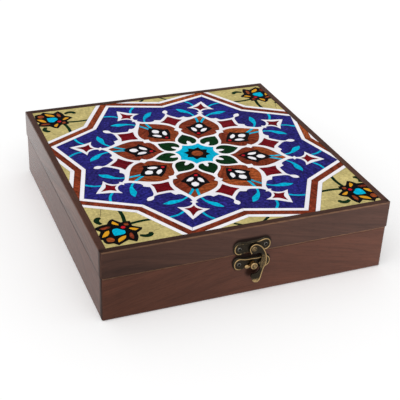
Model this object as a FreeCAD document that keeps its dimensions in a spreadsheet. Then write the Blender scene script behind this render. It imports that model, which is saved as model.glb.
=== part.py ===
import FreeCAD, Part
import math
import os
import types

import Sketcher

# A shallow walnut box with a mosaic lid, a swing-hook latch in front and two butt hinges behind.
# The box stands on z = 0 and is centred on x = 0 and y = 0, with its front towards -y.

Vec = FreeCAD.Vector
doc = FreeCAD.newDocument("InlaidBox")

# Driving sizes, in millimetres
SIZES = {
    "box_width": 250.0,
    "box_depth": 260.0,
    "base_height": 40.4,
    "lid_height": 23.4,
    "seam_gap": 0.2,
    "lid_overhang": 0.7,
    "wall_thick": 9.0,
    "corner_round": 2.0,
    "foot_round": 2.2,
    "lid_edge_round": 1.0,
    "seam_bevel": 1.5,
    "seam_bevel_drop": 1.85,
    "bottom_thick": 4.0,
    "bottom_rebate": 4.0,
    "rim_width": 5.8,
    "panel_thick": 4.0,
    "tile_thick": 2.0,
    "tile_recess": 0.4,
    "tile_joint": 0.2,
    "inner_line": 3.7,
    "brown_band": 5.8,
    "outer_line": 3.7,
    "pattern_shift_right": 2.0,
    "pattern_shift_back": 0.6,
    "flower_inset": 16.6,
    "flower_radius": 15.6,
    "hinge_inset": 49.3,
    "hinge_length": 28.0,
    "leaf_thick": 1.0,
    "leaf_margin": 0.7,
    "barrel_radius": 2.2,
    "barrel_room": 0.35,
    "hinge_pin_radius": 1.1,
    "knuckle_gap": 0.3,
    "running_fit": 0.05,
    "loose_fit": 0.1,
    "plate_length": 32.0,
    "plate_ear": 5.2,
    "plate_thick": 1.2,
    "plate_lip": 0.9,
    "plate_sink": 0.35,
    "plate_rise": 5.6,
    "strike_drop": 10.4,
    "rivet_drop": 1.2,
    "rivet_radius": 1.5,
    "rivet_shoulder": 2.3,
    "rivet_head": 2.8,
    "rivet_crown": 1.3,
    "hook_room": 0.95,
    "hook_thick": 1.6,
    "hook_eye": 4.7,
    "hook_bulge": 10.6,
    "hook_arm": 4.2,
    "hook_tail": 17.0,
    "catch_room": 1.0,
    "post_neck": 1.6,
    "post_head": 2.8,
    "post_crown": 1.8,
    "stud_radius": 1.5,
    "stud_reach": 2.2,
    "stud_offset": 5.0,
}

sheet = doc.addObject("Spreadsheet::Sheet", "Sizes")
for row, (alias, number) in enumerate(SIZES.items(), start=1):
    sheet.set(f"A{row}", alias)
    sheet.set(f"B{row}", str(number))
    sheet.setAlias(f"B{row}", alias)
doc.recompute()


class Size:
    """A length that carries its number together with its formula over the sheet's cells."""

    def __init__(self, number, formula):
        self.number = number
        self.formula = formula

    def __add__(self, other):
        other = as_size(other)
        return Size(self.number + other.number, f"({self.formula} + {other.formula})")

    def __sub__(self, other):
        other = as_size(other)
        return Size(self.number - other.number, f"({self.formula} - {other.formula})")

    def __mul__(self, other):
        other = as_size(other)
        return Size(self.number * other.number, f"({self.formula} * {other.formula})")

    def __truediv__(self, other):
        other = as_size(other)
        return Size(self.number / other.number, f"({self.formula} / {other.formula})")

    def __rsub__(self, other):
        return as_size(other) - self

    def __neg__(self):
        return as_size(0) - self

    __radd__ = __add__
    __rmul__ = __mul__


def as_size(value):
    return value if isinstance(value, Size) else Size(float(value), repr(float(value)))


def root(value):
    return Size(math.sqrt(value.number), f"sqrt({value.formula})")


s = types.SimpleNamespace(**{name: Size(sheet.get(name), f"Sizes.{name}") for name in SIZES})
nodes = []


UP = Vec(0, 0, 1)
ACROSS = Vec(1, 0, 0)
FACING_FRONT = FreeCAD.Rotation(UP, Vec(0, -1, 0))


# Helpers for bodies, sketches and features

def bind(item, prop, value):
    item.setExpression(prop, as_size(value).formula)


def place(item, x, y, z, turn=FreeCAD.Rotation()):
    item.Placement = FreeCAD.Placement(Vec(0, 0, 0), turn)
    for axis, value in (("x", x), ("y", y), ("z", z)):
        bind(item, f"Placement.Base.{axis}", value)


def keep(item, label):
    item.Label = label
    nodes.append(item)
    return item


def new_body(label):
    return keep(doc.addObject("PartDesign::Body", label), label)


def arc_centre(start, end, radius, turn, wide):
    middle = (start + end) * 0.5
    chord = end - start
    rise = math.sqrt(max(radius ** 2 - (chord.Length / 2) ** 2, 0.0))
    left = Vec(-chord.y, chord.x, 0).normalize()
    return middle + left * rise * turn * (-1 if wide else 1)


def draw(body, plane_role, loops=(), circles=()):
    """Draw closed loops and circles on an origin plane of the body, each size bound to the sheet.

    A corner is (x, y), or (x, y, radius, turn, wide) where an arc leaves it: turn is 1 for
    anticlockwise and -1 for clockwise, and wide says that the arc is more than a half circle.
    """
    sketch = body.newObject("Sketcher::SketchObject", body.Label + "_sketch")
    plane = next(item for item in body.Origin.OriginFeatures if item.Role == plane_role)
    sketch.AttachmentSupport = [(plane, "")]
    sketch.MapMode = "FlatFace"

    def pin_point(geometry, position, x, y):
        for kind, value in (("DistanceX", as_size(x)), ("DistanceY", as_size(y))):
            number = sketch.addConstraint(
                Sketcher.Constraint(kind, -1, 1, geometry, position, value.number))
            bind(sketch, f"Constraints[{number}]", value)

    def pin_radius(geometry, radius):
        number = sketch.addConstraint(Sketcher.Constraint("Radius", geometry, radius.number))
        bind(sketch, f"Constraints[{number}]", radius)

    for corners in loops:
        points = [Vec(as_size(c[0]).number, as_size(c[1]).number, 0) for c in corners]
        legs = []
        for index, corner in enumerate(corners):
            start = points[index]
            end = points[(index + 1) % len(points)]
            if len(corner) == 2:
                legs.append((sketch.addGeometry(Part.LineSegment(start, end)), 1, 2))
                continue
            radius, turn, wide = as_size(corner[2]), corner[3], corner[4]
            centre = arc_centre(start, end, radius.number, turn, wide)
            first, last = (start, end) if turn > 0 else (end, start)
            angles = [math.atan2(p.y - centre.y, p.x - centre.x) for p in (first, last)]
            circle = Part.Circle(centre, Vec(0, 0, 1), radius.number)
            geometry = sketch.addGeometry(Part.ArcOfCircle(circle, angles[0], angles[1]))
            legs.append((geometry, 1, 2) if turn > 0 else (geometry, 2, 1))
            pin_radius(geometry, radius)
        for index, (geometry, begin, finish) in enumerate(legs):
            following, opening, _ = legs[(index + 1) % len(legs)]
            sketch.addConstraint(
                Sketcher.Constraint("Coincident", geometry, finish, following, opening))
            pin_point(geometry, begin, corners[index][0], corners[index][1])
    for x, y, radius in circles:
        centre = Vec(as_size(x).number, as_size(y).number, 0)
        geometry = sketch.addGeometry(Part.Circle(centre, Vec(0, 0, 1), as_size(radius).number))
        pin_point(geometry, 3, x, y)
        pin_radius(geometry, as_size(radius))
    return sketch


def pad(body, sketch, length, side="One side"):
    feature = body.newObject("PartDesign::Pad", body.Label + "_pad")
    feature.Profile = sketch
    feature.SideType = side
    bind(feature, "Length", length)
    doc.recompute()
    return feature


def check_cut(body, before):
    doc.recompute()
    if not body.Shape.Volume < before:
        raise ValueError(f"a cut in {body.Label} removed nothing")


def saw_through(body, sketch):
    before = body.Shape.Volume
    feature = body.newObject("PartDesign::Pocket", body.Label + "_saw")
    feature.Profile = sketch
    feature.SideType = "Symmetric"
    feature.Type = "ThroughAll"
    check_cut(body, before)


def cut_box(body, corner, sizes):
    before = body.Shape.Volume
    feature = body.newObject("PartDesign::SubtractiveBox", body.Label + "_mortise")
    for prop, value in zip(("Length", "Width", "Height"), sizes):
        bind(feature, prop, value)
    place(feature, *corner)
    check_cut(body, before)


def cut_round(body, start, length, radius):
    """Bore along the box's width from the start point."""
    before = body.Shape.Volume
    feature = body.newObject("PartDesign::SubtractiveCylinder", body.Label + "_bore")
    bind(feature, "Height", length)
    bind(feature, "Radius", radius)
    place(feature, *start, FreeCAD.Rotation(UP, ACROSS))
    check_cut(body, before)


def turned(label, profile, x, y, z, turn):
    """A turned piece: the profile's (radius, height) corners spun about the piece's own z axis."""
    body = new_body(label)
    feature = body.newObject("PartDesign::Revolution", label + "_turn")
    feature.Profile = draw(body, "XZ_Plane", [profile])
    axis = next(item for item in body.Origin.OriginFeatures if item.Role == "Z_Axis")
    feature.ReferenceAxis = (axis, [""])
    feature.Angle = 360
    place(body, x, y, z, turn)
    doc.recompute()
    return body


# Places that several pieces share
base_width = s.box_width - 2 * s.lid_overhang
base_depth = s.box_depth - 2 * s.lid_overhang
lid_bottom = s.base_height + s.seam_gap
box_top = lid_bottom + s.lid_height
panel_depth = s.tile_recess + s.tile_thick + s.panel_thick
base_front_y = -base_depth / 2
lid_front_y = -s.box_depth / 2
axis_y = base_depth / 2 - s.seam_bevel
axis_z = s.base_height + s.seam_gap / 2
leaf_depth = s.wall_thick - s.seam_bevel - s.leaf_margin
hinge_reach = base_width / 2 - s.hinge_inset
hinge_sides = (("left", -1), ("right", 1))
ends = (-1, 1)
BOARD_ORDER = ("front", "right", "back", "left")


# Mitred boards of the base and the lid

def mitred_board(label, run, section, side, half_width, half_depth, z):
    """Run a section along a board, saw both mitres and ease the corner arrises."""
    body = new_body(label)
    pad(body, draw(body, "YZ_Plane", [section]), run, "Symmetric")
    arris = s.corner_round * (1 - math.sqrt(0.5))
    spare = s.wall_thick

    def mitre(end):
        tip = end * run / 2
        turn = -end
        return [
            (tip - end * (s.wall_thick + spare), s.wall_thick + spare),
            (tip - end * arris, arris, s.corner_round, turn, False),
            (tip - end * s.corner_round, 0),
            (tip - end * s.corner_round, -spare),
            (tip + end * spare, -spare),
            (tip + end * spare, s.wall_thick + spare),
        ]

    saw_through(body, draw(body, "XY_Plane", [mitre(end) for end in ends]))
    x = {"right": half_width, "left": -half_width}.get(side, 0)
    y = {"front": -half_depth, "back": half_depth}.get(side, 0)
    place(body, x, y, z, FreeCAD.Rotation(UP, 90.0 * BOARD_ORDER.index(side)))
    return body


base_section = [
    (s.foot_round, 0),
    (s.wall_thick - s.bottom_rebate, 0),
    (s.wall_thick - s.bottom_rebate, s.bottom_thick),
    (s.wall_thick, s.bottom_thick),
    (s.wall_thick, s.base_height),
    (s.seam_bevel, s.base_height),
    (0, s.base_height - s.seam_bevel_drop),
    (0, s.foot_round, s.foot_round, 1, False),
]
lid_ledge = s.lid_height - panel_depth
lid_bevel = s.seam_bevel + s.lid_overhang
lid_bevel_rise = lid_bevel * s.seam_bevel_drop / s.seam_bevel
lid_section_top = [
    (s.wall_thick, 0),
    (s.wall_thick, lid_ledge),
    (s.rim_width, lid_ledge),
    (s.rim_width, s.lid_height),
    (s.lid_edge_round, s.lid_height, s.lid_edge_round, 1, False),
    (0, s.lid_height - s.lid_edge_round),
]
lid_section = lid_section_top + [(0, 0)]
lid_back_section = lid_section_top + [(0, lid_bevel_rise), (lid_bevel, 0)]

boards = {}
for side in BOARD_ORDER:
    along_width = side in ("front", "back")
    boards["base_" + side] = mitred_board(
        "base_" + side, base_width if along_width else base_depth, base_section, side,
        base_width / 2, base_depth / 2, 0)
    boards["lid_" + side] = mitred_board(
        "lid_" + side, s.box_width if along_width else s.box_depth,
        lid_back_section if side == "back" else lid_section, side,
        s.box_width / 2, s.box_depth / 2, lid_bottom)


# Boards that close the base and carry the mosaic

def flat_board(label, width, depth, thick, z):
    board = keep(doc.addObject("Part::Box", label), label)
    bind(board, "Length", width)
    bind(board, "Width", depth)
    bind(board, "Height", thick)
    place(board, -width / 2, -depth / 2, z)


rebate_line = s.wall_thick - s.bottom_rebate
flat_board("base_bottom", base_width - 2 * rebate_line, base_depth - 2 * rebate_line,
           s.bottom_thick, 0)
panel_width = s.box_width - 2 * s.rim_width
panel_length = s.box_depth - 2 * s.rim_width
flat_board("lid_panel", panel_width, panel_length, s.panel_thick, box_top - panel_depth)


# Hinge mortises and barrel grooves in the two back boards

def let_in_hinges(board, inset, seam, leaf_side):
    """Cut a board for both hinges, with leaf_side -1 where the leaf lies under the axis."""
    room = s.hinge_length + 2 * s.loose_fit
    for _, side in hinge_sides:
        start = side * hinge_reach - room / 2
        cut_box(board, (start, -s.wall_thick, seam - s.leaf_thick),
                (room, s.wall_thick + inset + leaf_depth + s.loose_fit, 2 * s.leaf_thick))
        cut_round(board, (start, inset, seam - leaf_side * s.seam_gap / 2), room,
                  s.barrel_radius + s.barrel_room)


let_in_hinges(boards["base_back"], s.seam_bevel, s.base_height, -1)
let_in_hinges(boards["lid_back"], lid_bevel, as_size(0), 1)


# Butt hinges: two leaves with interleaved knuckles on one pin

def hinge_leaf(label, x, leaf_side):
    """A leaf below the axis for leaf_side -1, with the outer knuckles, or above it with the middle one."""
    body = new_body(label)
    near = s.seam_gap / 2
    far = near + s.leaf_thick
    near_end = root(s.barrel_radius * s.barrel_radius - near * near)
    far_end = root(s.barrel_radius * s.barrel_radius - far * far)
    profile = [
        (-leaf_depth, leaf_side * near),
        (-leaf_depth, leaf_side * far),
        (-far_end, leaf_side * far, s.barrel_radius, -leaf_side, True),
        (-near_end, leaf_side * near),
    ]
    bore = (0, 0, s.hinge_pin_radius + s.running_fit)
    pad(body, draw(body, "YZ_Plane", [profile], [bore]), s.hinge_length, "Symmetric")
    knuckle = s.hinge_length / 3
    reach = s.barrel_radius + s.barrel_room
    gaps = [(-knuckle / 2 - s.knuckle_gap / 2, knuckle + s.knuckle_gap)]
    if leaf_side > 0:
        outer = knuckle + s.knuckle_gap / 2
        gaps = [(-s.hinge_length / 2, outer), (s.hinge_length / 2 - outer, outer)]
    for start, length in gaps:
        cut_box(body, (start, -reach, -reach), (length, 2 * reach, 2 * reach))
    place(body, x, axis_y, axis_z)


for side_name, side in hinge_sides:
    hinge_x = side * hinge_reach
    hinge_leaf(f"hinge_{side_name}_base_leaf", hinge_x, -1)
    hinge_leaf(f"hinge_{side_name}_lid_leaf", hinge_x, 1)
    pin = keep(doc.addObject("Part::Cylinder", f"hinge_{side_name}_pin"), f"hinge_{side_name}_pin")
    bind(pin, "Radius", s.hinge_pin_radius)
    bind(pin, "Height", s.hinge_length)
    place(pin, hinge_x - s.hinge_length / 2, axis_y, axis_z, FreeCAD.Rotation(UP, ACROSS))

# Swing-hook latch: a plate with the hook on the lid, a plate with the catch post on the base
plate_z = lid_bottom + s.plate_rise
strike_z = s.base_height - s.strike_drop
rivet_z = plate_z - s.rivet_drop
post_z = strike_z
ear_place = s.plate_length / 2 - s.plate_ear
plate_field = s.plate_thick - s.plate_sink


def plate_outline(inset):
    """Two round ears joined by a lower waist, drawn in from the edge by inset."""
    ear = s.plate_ear - inset
    waist = s.plate_ear * math.sqrt(0.75) - inset
    shoulder = ear_place - root(ear * ear - waist * waist)
    return [
        (shoulder, -waist, ear, 1, True),
        (shoulder, waist),
        (-shoulder, waist, ear, 1, True),
        (-shoulder, -waist),
    ]


def latch_plate(label, y, z):
    """A thin plate with a raised lip."""
    body = new_body(label)
    edge = plate_outline(as_size(0))
    pad(body, draw(body, "XZ_Plane", [edge]), plate_field)
    pad(body, draw(body, "XZ_Plane", [edge, plate_outline(s.plate_lip)]), s.plate_thick)
    place(body, as_size(0), y, z)


latch_plate("latch_plate", lid_front_y, plate_z)
latch_plate("strike_plate", base_front_y, strike_z)
shoulder_end = plate_field + s.hook_room
hook_back_y = lid_front_y - shoulder_end - s.running_fit
hook_front_y = hook_back_y - s.hook_thick

# The hook scrolls over its rivet, swells to the right, points a barb at the post and ends in a thumb tail
drop = rivet_z - post_z
tail_bottom = -drop - s.hook_tail
hook_inner = s.hook_bulge - s.hook_arm
hook_outline = [
    (-s.hook_eye * 0.6, -s.hook_eye * 0.8, s.hook_eye, -1, True),
    (s.hook_eye * 0.96, s.hook_eye * 0.28, s.hook_bulge * 1.3, -1, False),
    (s.hook_bulge, -drop * 0.6, s.hook_bulge * 2, -1, False),
    (s.hook_bulge - s.hook_arm * 0.4, -drop - s.hook_arm * 1.2, s.hook_tail * 2, 1, False),
    (s.hook_bulge - s.hook_arm * 0.7, tail_bottom + s.hook_arm, s.hook_arm, -1, False),
    (s.hook_arm * 0.8, tail_bottom),
    (-s.hook_arm * 0.1, tail_bottom + s.hook_arm * 0.5),
    (-s.hook_arm * 0.3, tail_bottom + s.hook_arm * 1.5),
    (hook_inner - s.hook_arm * 0.6, tail_bottom + s.hook_arm * 1.9),
    (hook_inner, -drop - s.hook_arm * 0.7),
    (s.post_head + s.catch_room, -drop),
    (hook_inner, -drop * 0.7, s.hook_arm, 1, False),
    (s.hook_eye * 0.6, -s.hook_eye * 0.8),
]
hook = new_body("latch_hook")
pad(hook, draw(hook, "XZ_Plane", [hook_outline], [(0, 0, s.rivet_radius + s.running_fit)]),
    s.hook_thick)
place(hook, as_size(0), hook_back_y, rivet_z)

rivet_reach = shoulder_end + s.hook_thick + 2 * s.running_fit
turned("latch_rivet", [
    (0, plate_field),
    (s.rivet_shoulder, plate_field),
    (s.rivet_shoulder, shoulder_end),
    (s.rivet_radius, shoulder_end),
    (s.rivet_radius, rivet_reach),
    (s.rivet_head, rivet_reach),
    (s.rivet_head * 0.6, rivet_reach + s.rivet_crown),
    (0, rivet_reach + s.rivet_crown),
], as_size(0), lid_front_y, rivet_z, FACING_FRONT)
post_reach = base_front_y - hook_front_y + s.catch_room
turned("strike_post", [
    (0, plate_field),
    (s.post_neck, plate_field),
    (s.post_neck, post_reach),
    (s.post_head, post_reach),
    (s.post_head, post_reach + s.post_crown),
    (0, post_reach + s.post_crown),
], as_size(0), base_front_y, post_z, FACING_FRONT)
turned("strike_stud", [
    (0, plate_field),
    (s.stud_radius, plate_field),
    (s.stud_radius, plate_field + s.stud_reach),
    (0, plate_field + s.stud_reach),
], -s.stud_offset, base_front_y, strike_z, FACING_FRONT)

# Mosaic: flat pieces of one thickness, drawn on a star whose notches lie 100 modules from its centre
NOTCH = 100.0
NOTCH_SHARE_OF_WIDTH = 0.433
NOTCH_SHARE_OF_LENGTH = 0.416
pattern_scale = (panel_width.number * NOTCH_SHARE_OF_WIDTH / NOTCH,
                 panel_length.number * NOTCH_SHARE_OF_LENGTH / NOTCH)
joint = s.tile_joint.number
tile_floor = (box_top - s.tile_recess - s.tile_thick).number
tile_thick = s.tile_thick.number
pattern_centre = Vec(s.pattern_shift_right.number, s.pattern_shift_back.number, 0)
FOLDS = 8
SECTOR = 360 / FOLDS
HALF_SECTOR = math.radians(SECTOR / 2)


def polar(radius, angle):
    return (radius * math.cos(angle), radius * math.sin(angle))


def both_sides(half):
    """Complete an outline that is drawn on one side of its axis only."""
    return half + [(u, -v) for u, v in reversed(half[1:-1])]


def wire(corners, angle=0.0, grow=0.0, scale=pattern_scale, centre=pattern_centre):
    """Close a loop of (u, v) corners, with its sides moved outwards by grow and its corners kept sharp."""
    turn = FreeCAD.Rotation(UP, angle)
    points = []
    for u, v in corners:
        point = turn * Vec(u, v, 0)
        points.append(centre + Vec(point.x * scale[0], point.y * scale[1], 0))
    sides = list(zip(points, points[1:] + points[:1]))
    area = sum(start.x * end.y - end.x * start.y for start, end in sides)
    outward = math.copysign(1, area)
    leaving = [Vec(end.y - start.y, start.x - end.x, 0).normalize() * outward for start, end in sides]
    entering = leaving[-1:] + leaving[:-1]
    moved = []
    for point, before, after in zip(points, entering, leaving):
        moved.append(point + (before + after) * (grow / (1 + before.dot(after))))
    return Part.makePolygon(moved + moved[:1])


def ring_of(corners, on_axis, grow):
    """Repeat a loop round the rosette, on the star's point axes or on its notch axes."""
    first = SECTOR / 2 if on_axis == "points" else 0.0
    return [wire(corners, first + SECTOR * fold, grow) for fold in range(FOLDS)]


def face_of(loops):
    return Part.makeFace(loops, "Part::FaceMakerBullseye")


def lay(label, faces):
    """Give the faces their thickness and keep them as one node of separate pieces."""
    solids = []
    for face in faces:
        for piece in face.Faces:
            solid = piece.extrude(Vec(0, 0, tile_thick))
            solid.translate(Vec(0, 0, tile_floor))
            solids.append(solid)
    tiles = keep(doc.addObject("Part::Feature", label), label)
    tiles.Shape = Part.makeCompound(solids)


def frame_face(inset):
    width = panel_width.number - 2 * inset
    length = panel_length.number - 2 * inset
    return Part.Face(Part.makePlane(width, length, Vec(-width / 2, -length / 2, 0)).Wires[0])


frame = frame_face(joint / 2)

# Eight-pointed star with its three border bands
STAR_TIP = 121.0
star = [polar(STAR_TIP if fold % 2 else NOTCH, HALF_SECTOR * fold) for fold in range(2 * FOLDS)]


def star_face(offset):
    return Part.Face(wire(star, grow=offset))


def band_face(inner, outer):
    ring = star_face(outer - joint / 2).cut(star_face(inner + joint / 2))
    return ring.common(frame)


line_end = s.inner_line.number
band_end = line_end + s.brown_band.number
border_end = band_end + s.outer_line.number
lay("mosaic_inner_line", [band_face(0, line_end)])
lay("mosaic_brown_band", [band_face(line_end, band_end)])
lay("mosaic_outer_line", [band_face(band_end, border_end)])

# Motif outlines on one side of their axes: (distance out, distance aside)
petal = both_sides([(27.6, 0), (32.0, 8.6), (40.0, 15.6), (48.0, 17.6), (56.5, 16.0), (66.0, 9.6), (77.5, 0)])
bud = both_sides([(36.8, 0), (43.8, 4.7), (49.8, 10.6), (55.2, 4.6), (61.8, 0)])
leaf = both_sides([(22.3, 0), (18.2, 2.2), (20.2, 4.6), (24.6, 5.5), (30.5, 3.6), (37.2, 0)])
diamond = both_sides([(54.8, 0), (60.8, 4.2), (65.0, 10.2), (69.4, 4.2), (75.4, 0)])
star_heart = both_sides([(90.6, 0), (94.4, 2.4), (96.8, 6.2), (99.2, 2.4), (103.0, 0)])
vine_leaf = [(77.1, 6.4), (85.6, 12.9), (89.2, 23.0), (82.4, 15.2)]
vine_leaf_mirrored = [(u, -v) for u, v in vine_leaf]

# The lattice's outer edge from a finial on a notch axis to the tip of a small star on a point axis
finial = [(88.0, 0), (85.6, 1.6), (82.6, 0.8), (78.0, 1.6), (73.4, 8.0), (71.6, 15.6)]
small_star = [(68.4, -10.6), (79.6, -1.6), (86.6, -2.0), (93.0, -7.1), (97.0, -13.9), (101.5, -6.2),
              (107.8, 0)]


def seen_from_point_axis(u, v):
    return (u * math.cos(HALF_SECTOR) + v * math.sin(HALF_SECTOR),
            v * math.cos(HALF_SECTOR) - u * math.sin(HALF_SECTOR))


def lattice_edge():
    sector = both_sides([seen_from_point_axis(*corner) for corner in finial] + small_star)
    corners = []
    for fold in range(FOLDS):
        turn = FreeCAD.Rotation(UP, SECTOR * fold)
        for u, v in sector:
            point = turn * Vec(u, v, 0)
            corners.append((point.x, point.y))
    return corners


# Rose in the middle: a cyan star, a black star inside it and a brown button
rose_rim = [polar(17.9 if fold % 2 else 14.3, HALF_SECTOR * fold) for fold in range(2 * FOLDS)]
rose_star = [polar(10.3 if fold % 2 else 8.0, HALF_SECTOR * fold) for fold in range(2 * FOLDS)]
rose_button = [polar(4.9, HALF_SECTOR * 2 * fold) for fold in range(FOLDS)]


def motif_loops(grow):
    """All the rosette's loops, each grown by the same small distance."""
    return {
        "edge": [wire(lattice_edge(), SECTOR / 2, grow)],
        "petals": ring_of(petal, "points", grow),
        "buds": ring_of(bud, "points", grow),
        "star_hearts": ring_of(star_heart, "points", grow),
        "vine_leaves": ring_of(vine_leaf, "points", grow) + ring_of(vine_leaf_mirrored, "points", grow),
        "leaves": ring_of(leaf, "notches", grow),
        "diamonds": ring_of(diamond, "notches", grow),
        "rose_rim": [wire(rose_rim, 0.0, grow)],
        "rose_star": [wire(rose_star, 0.0, grow)],
        "rose_button": [wire(rose_button, 0.0, grow)],
    }


piece = motif_loops(-joint / 2)
seat = motif_loops(joint / 2)
blue = face_of(star_face(-joint / 2).Wires + seat["edge"] + seat["vine_leaves"])
lay("mosaic_blue_field", [blue.common(frame)])
lay("mosaic_lattice", [face_of(piece["edge"] + seat["petals"] + seat["leaves"] + seat["diamonds"]
                               + seat["star_hearts"] + seat["rose_rim"])])
lay("mosaic_petals", [face_of(piece["petals"] + seat["buds"])])
lay("mosaic_rose_rim", [face_of(piece["rose_rim"] + seat["rose_star"])])
lay("mosaic_rose_star", [face_of(piece["rose_star"] + seat["rose_button"])])
for motif in ("buds", "leaves", "diamonds", "star_hearts", "vine_leaves", "rose_button"):
    lay("mosaic_" + motif, [face_of(piece[motif])])

# Corner flowers: eight petals round a cyan heart, set in a black ground
FLOWER_TIP = 100.0
flower_edge = both_sides([(FLOWER_TIP, 0), (78, 30), (72, 72), (30, 78), (0, FLOWER_TIP), (-30, 78),
                          (-72, 72), (-78, 30), (-FLOWER_TIP, 0)])
flower_petal = both_sides([(38, 0), (66, 16), (88, 0)])
flower_heart = [polar(27, HALF_SECTOR * 2 * fold) for fold in range(FOLDS)]
flower_scale = (s.flower_radius.number / FLOWER_TIP, s.flower_radius.number / FLOWER_TIP)
ground = frame.cut(star_face(border_end + joint / 2))

flower_parts = {"ground": [], "hearts": [], "yellow_petals": [], "brown_petals": []}
flower_beds = []


def flower_loops(centre, outward, grow):
    """The loops of one flower, whose first petal points outward."""
    ring = [wire(flower_petal, outward + SECTOR * fold, grow, flower_scale, centre)
            for fold in range(FOLDS)]
    return {
        "ground": [wire(flower_edge, outward, grow, flower_scale, centre)],
        "hearts": [wire(flower_heart, outward, grow, flower_scale, centre)],
        "brown_petals": ring[0::2],
        "yellow_petals": ring[1::2],
    }


for side_x in ends:
    for side_y in ends:
        centre = Vec(side_x * (panel_width.number / 2 - s.flower_inset.number),
                     side_y * (panel_length.number / 2 - s.flower_inset.number), 0)
        outward = math.degrees(math.atan2(side_y, side_x))
        cut = flower_loops(centre, outward, -joint / 2)
        bed = flower_loops(centre, outward, joint / 2)
        flower_beds.append(Part.Face(bed["ground"][0]))
        holes = bed["hearts"] + bed["brown_petals"] + bed["yellow_petals"]
        flower_parts["ground"].append(face_of(cut["ground"] + holes).common(ground))
        for part_name in ("hearts", "brown_petals", "yellow_petals"):
            flower_parts[part_name].append(face_of(cut[part_name]).common(ground))
lay("mosaic_corner_ground", [ground.cut(flower_beds)])
for part_name, faces in flower_parts.items():
    lay("flower_" + part_name, faces)

# Check every object, then write one file for each piece
doc.recompute()
for item in doc.Objects:
    if any(word in item.State for word in ("Invalid", "Error")):
        raise ValueError(f"{item.Label} failed to build: {item.State}")
for node in nodes:
    if node.Shape.isNull() or not node.Shape.isValid():
        raise ValueError(f"{node.Label} has no valid shape")
os.makedirs("parts", exist_ok=True)
for node in nodes:
    node.Shape.exportStep(os.path.join("parts", node.Label + ".step"))
print(len(nodes), "pieces written")
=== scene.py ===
# %% [markdown]
# # An inlaid wooden box
# A shallow walnut box has a tray and a hinged lid, a star mosaic of coloured wood let into the lid, and a
# swing-hook latch in front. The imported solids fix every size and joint. This lesson keeps the hinges, the
# bottom board and the lid's panel, rounds the corners of the outer boards, gives them all a finish, and
# builds the mosaic and the latch again in full detail.

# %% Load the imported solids
import math
from typing import NamedTuple

import bmesh
import bpy
from mathutils import Matrix, Vector
from mathutils.geometry import delaunay_2d_cdt, interpolate_bezier


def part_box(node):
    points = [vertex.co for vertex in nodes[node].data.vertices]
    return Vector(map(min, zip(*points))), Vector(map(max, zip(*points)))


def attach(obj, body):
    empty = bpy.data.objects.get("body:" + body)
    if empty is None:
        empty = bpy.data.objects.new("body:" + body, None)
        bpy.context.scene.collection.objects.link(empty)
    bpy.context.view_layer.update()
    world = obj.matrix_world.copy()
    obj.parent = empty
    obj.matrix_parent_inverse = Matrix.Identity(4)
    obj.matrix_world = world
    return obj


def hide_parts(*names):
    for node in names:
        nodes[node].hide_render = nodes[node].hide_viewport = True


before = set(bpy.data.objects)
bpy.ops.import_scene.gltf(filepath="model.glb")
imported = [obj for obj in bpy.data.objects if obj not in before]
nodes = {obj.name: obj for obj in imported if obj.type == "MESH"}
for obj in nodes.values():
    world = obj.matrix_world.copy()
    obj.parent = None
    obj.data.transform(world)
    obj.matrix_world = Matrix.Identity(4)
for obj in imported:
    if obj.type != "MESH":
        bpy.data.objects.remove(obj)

MM = 0.001
scene = bpy.context.scene
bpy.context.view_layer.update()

# %% [markdown]
# ## Camera
# The camera stands to the left of the front edge, above the lid, as in the photograph. Its place was
# found by matching the box's corners, so it is written as a place, a direction and a small roll, with no
# lens shift. A constraint could aim it at the lid, but plain numbers give the same view every time.

# %% Camera
CAMERA_PLACE = Vector((-278.9, -682.1, 444.8)) * MM
AZIMUTH = math.radians(-22.77)
ELEVATION = math.radians(30.20)
ROLL = math.radians(2.63)
LENS = 83.26

towards_camera = Vector((
    math.sin(AZIMUTH) * math.cos(ELEVATION),
    -math.cos(AZIMUTH) * math.cos(ELEVATION),
    math.sin(ELEVATION)))
camera = bpy.data.objects.new("camera", bpy.data.cameras.new("camera"))
camera.data.lens = LENS
level = towards_camera.to_track_quat("Z", "Y").to_matrix().to_4x4()
camera.matrix_world = Matrix.Translation(CAMERA_PLACE) @ level @ Matrix.Rotation(ROLL, 4, "Z")
scene.collection.objects.link(camera)
scene.camera = camera
scene.view_settings.view_transform = "Standard"
print("camera at", [round(value, 3) for value in CAMERA_PLACE])

# %% [markdown]
# ## Building materials
# A finish is a chain of nodes. A few short helpers keep such chains readable: they add a node and fill
# its sockets, and start an empty material or node group. The nodes could also be set by hand in the
# editor, but a script repeats them exactly.


# %% Node helpers
def fill_sockets(tree, node, values):
    """Fill a node's sockets with numbers or with links."""
    for key, value in values.items():
        if isinstance(value, bpy.types.NodeSocket):
            tree.links.new(value, node.inputs[key])
        else:
            node.inputs[key].default_value = value


def add_node(tree, kind, inputs=None, **settings):
    """Add a node with its settings and its sockets."""
    node = tree.nodes.new(kind)
    for key, value in settings.items():
        setattr(node, key, value)
    fill_sockets(tree, node, inputs or {})
    return node


def new_material(name):
    """A material with its node tree and its shader."""
    material = bpy.data.materials.new(name)
    material.use_nodes = True
    return material, material.node_tree, material.node_tree.nodes["Principled BSDF"]


def new_group(name, kind, inputs, outputs):
    """An empty node group with named sockets, and its two end nodes."""
    group = bpy.data.node_groups.new(name, kind)
    for label, socket in inputs.items():
        group.interface.new_socket(label, in_out="INPUT", socket_type=socket)
    for label, socket in outputs.items():
        group.interface.new_socket(label, in_out="OUTPUT", socket_type=socket)
    return group, group.nodes.new("NodeGroupInput"), group.nodes.new("NodeGroupOutput")


print("node helpers ready")

# %% [markdown]
# ## Colours and masks
# A colour is written as it is seen on a screen, and the shader works with linear light, so one function
# carries it over. The others make masks: noise in grains of a known size, a change from 0 to 1 over a
# range, and sums and products of such masks.

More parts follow.
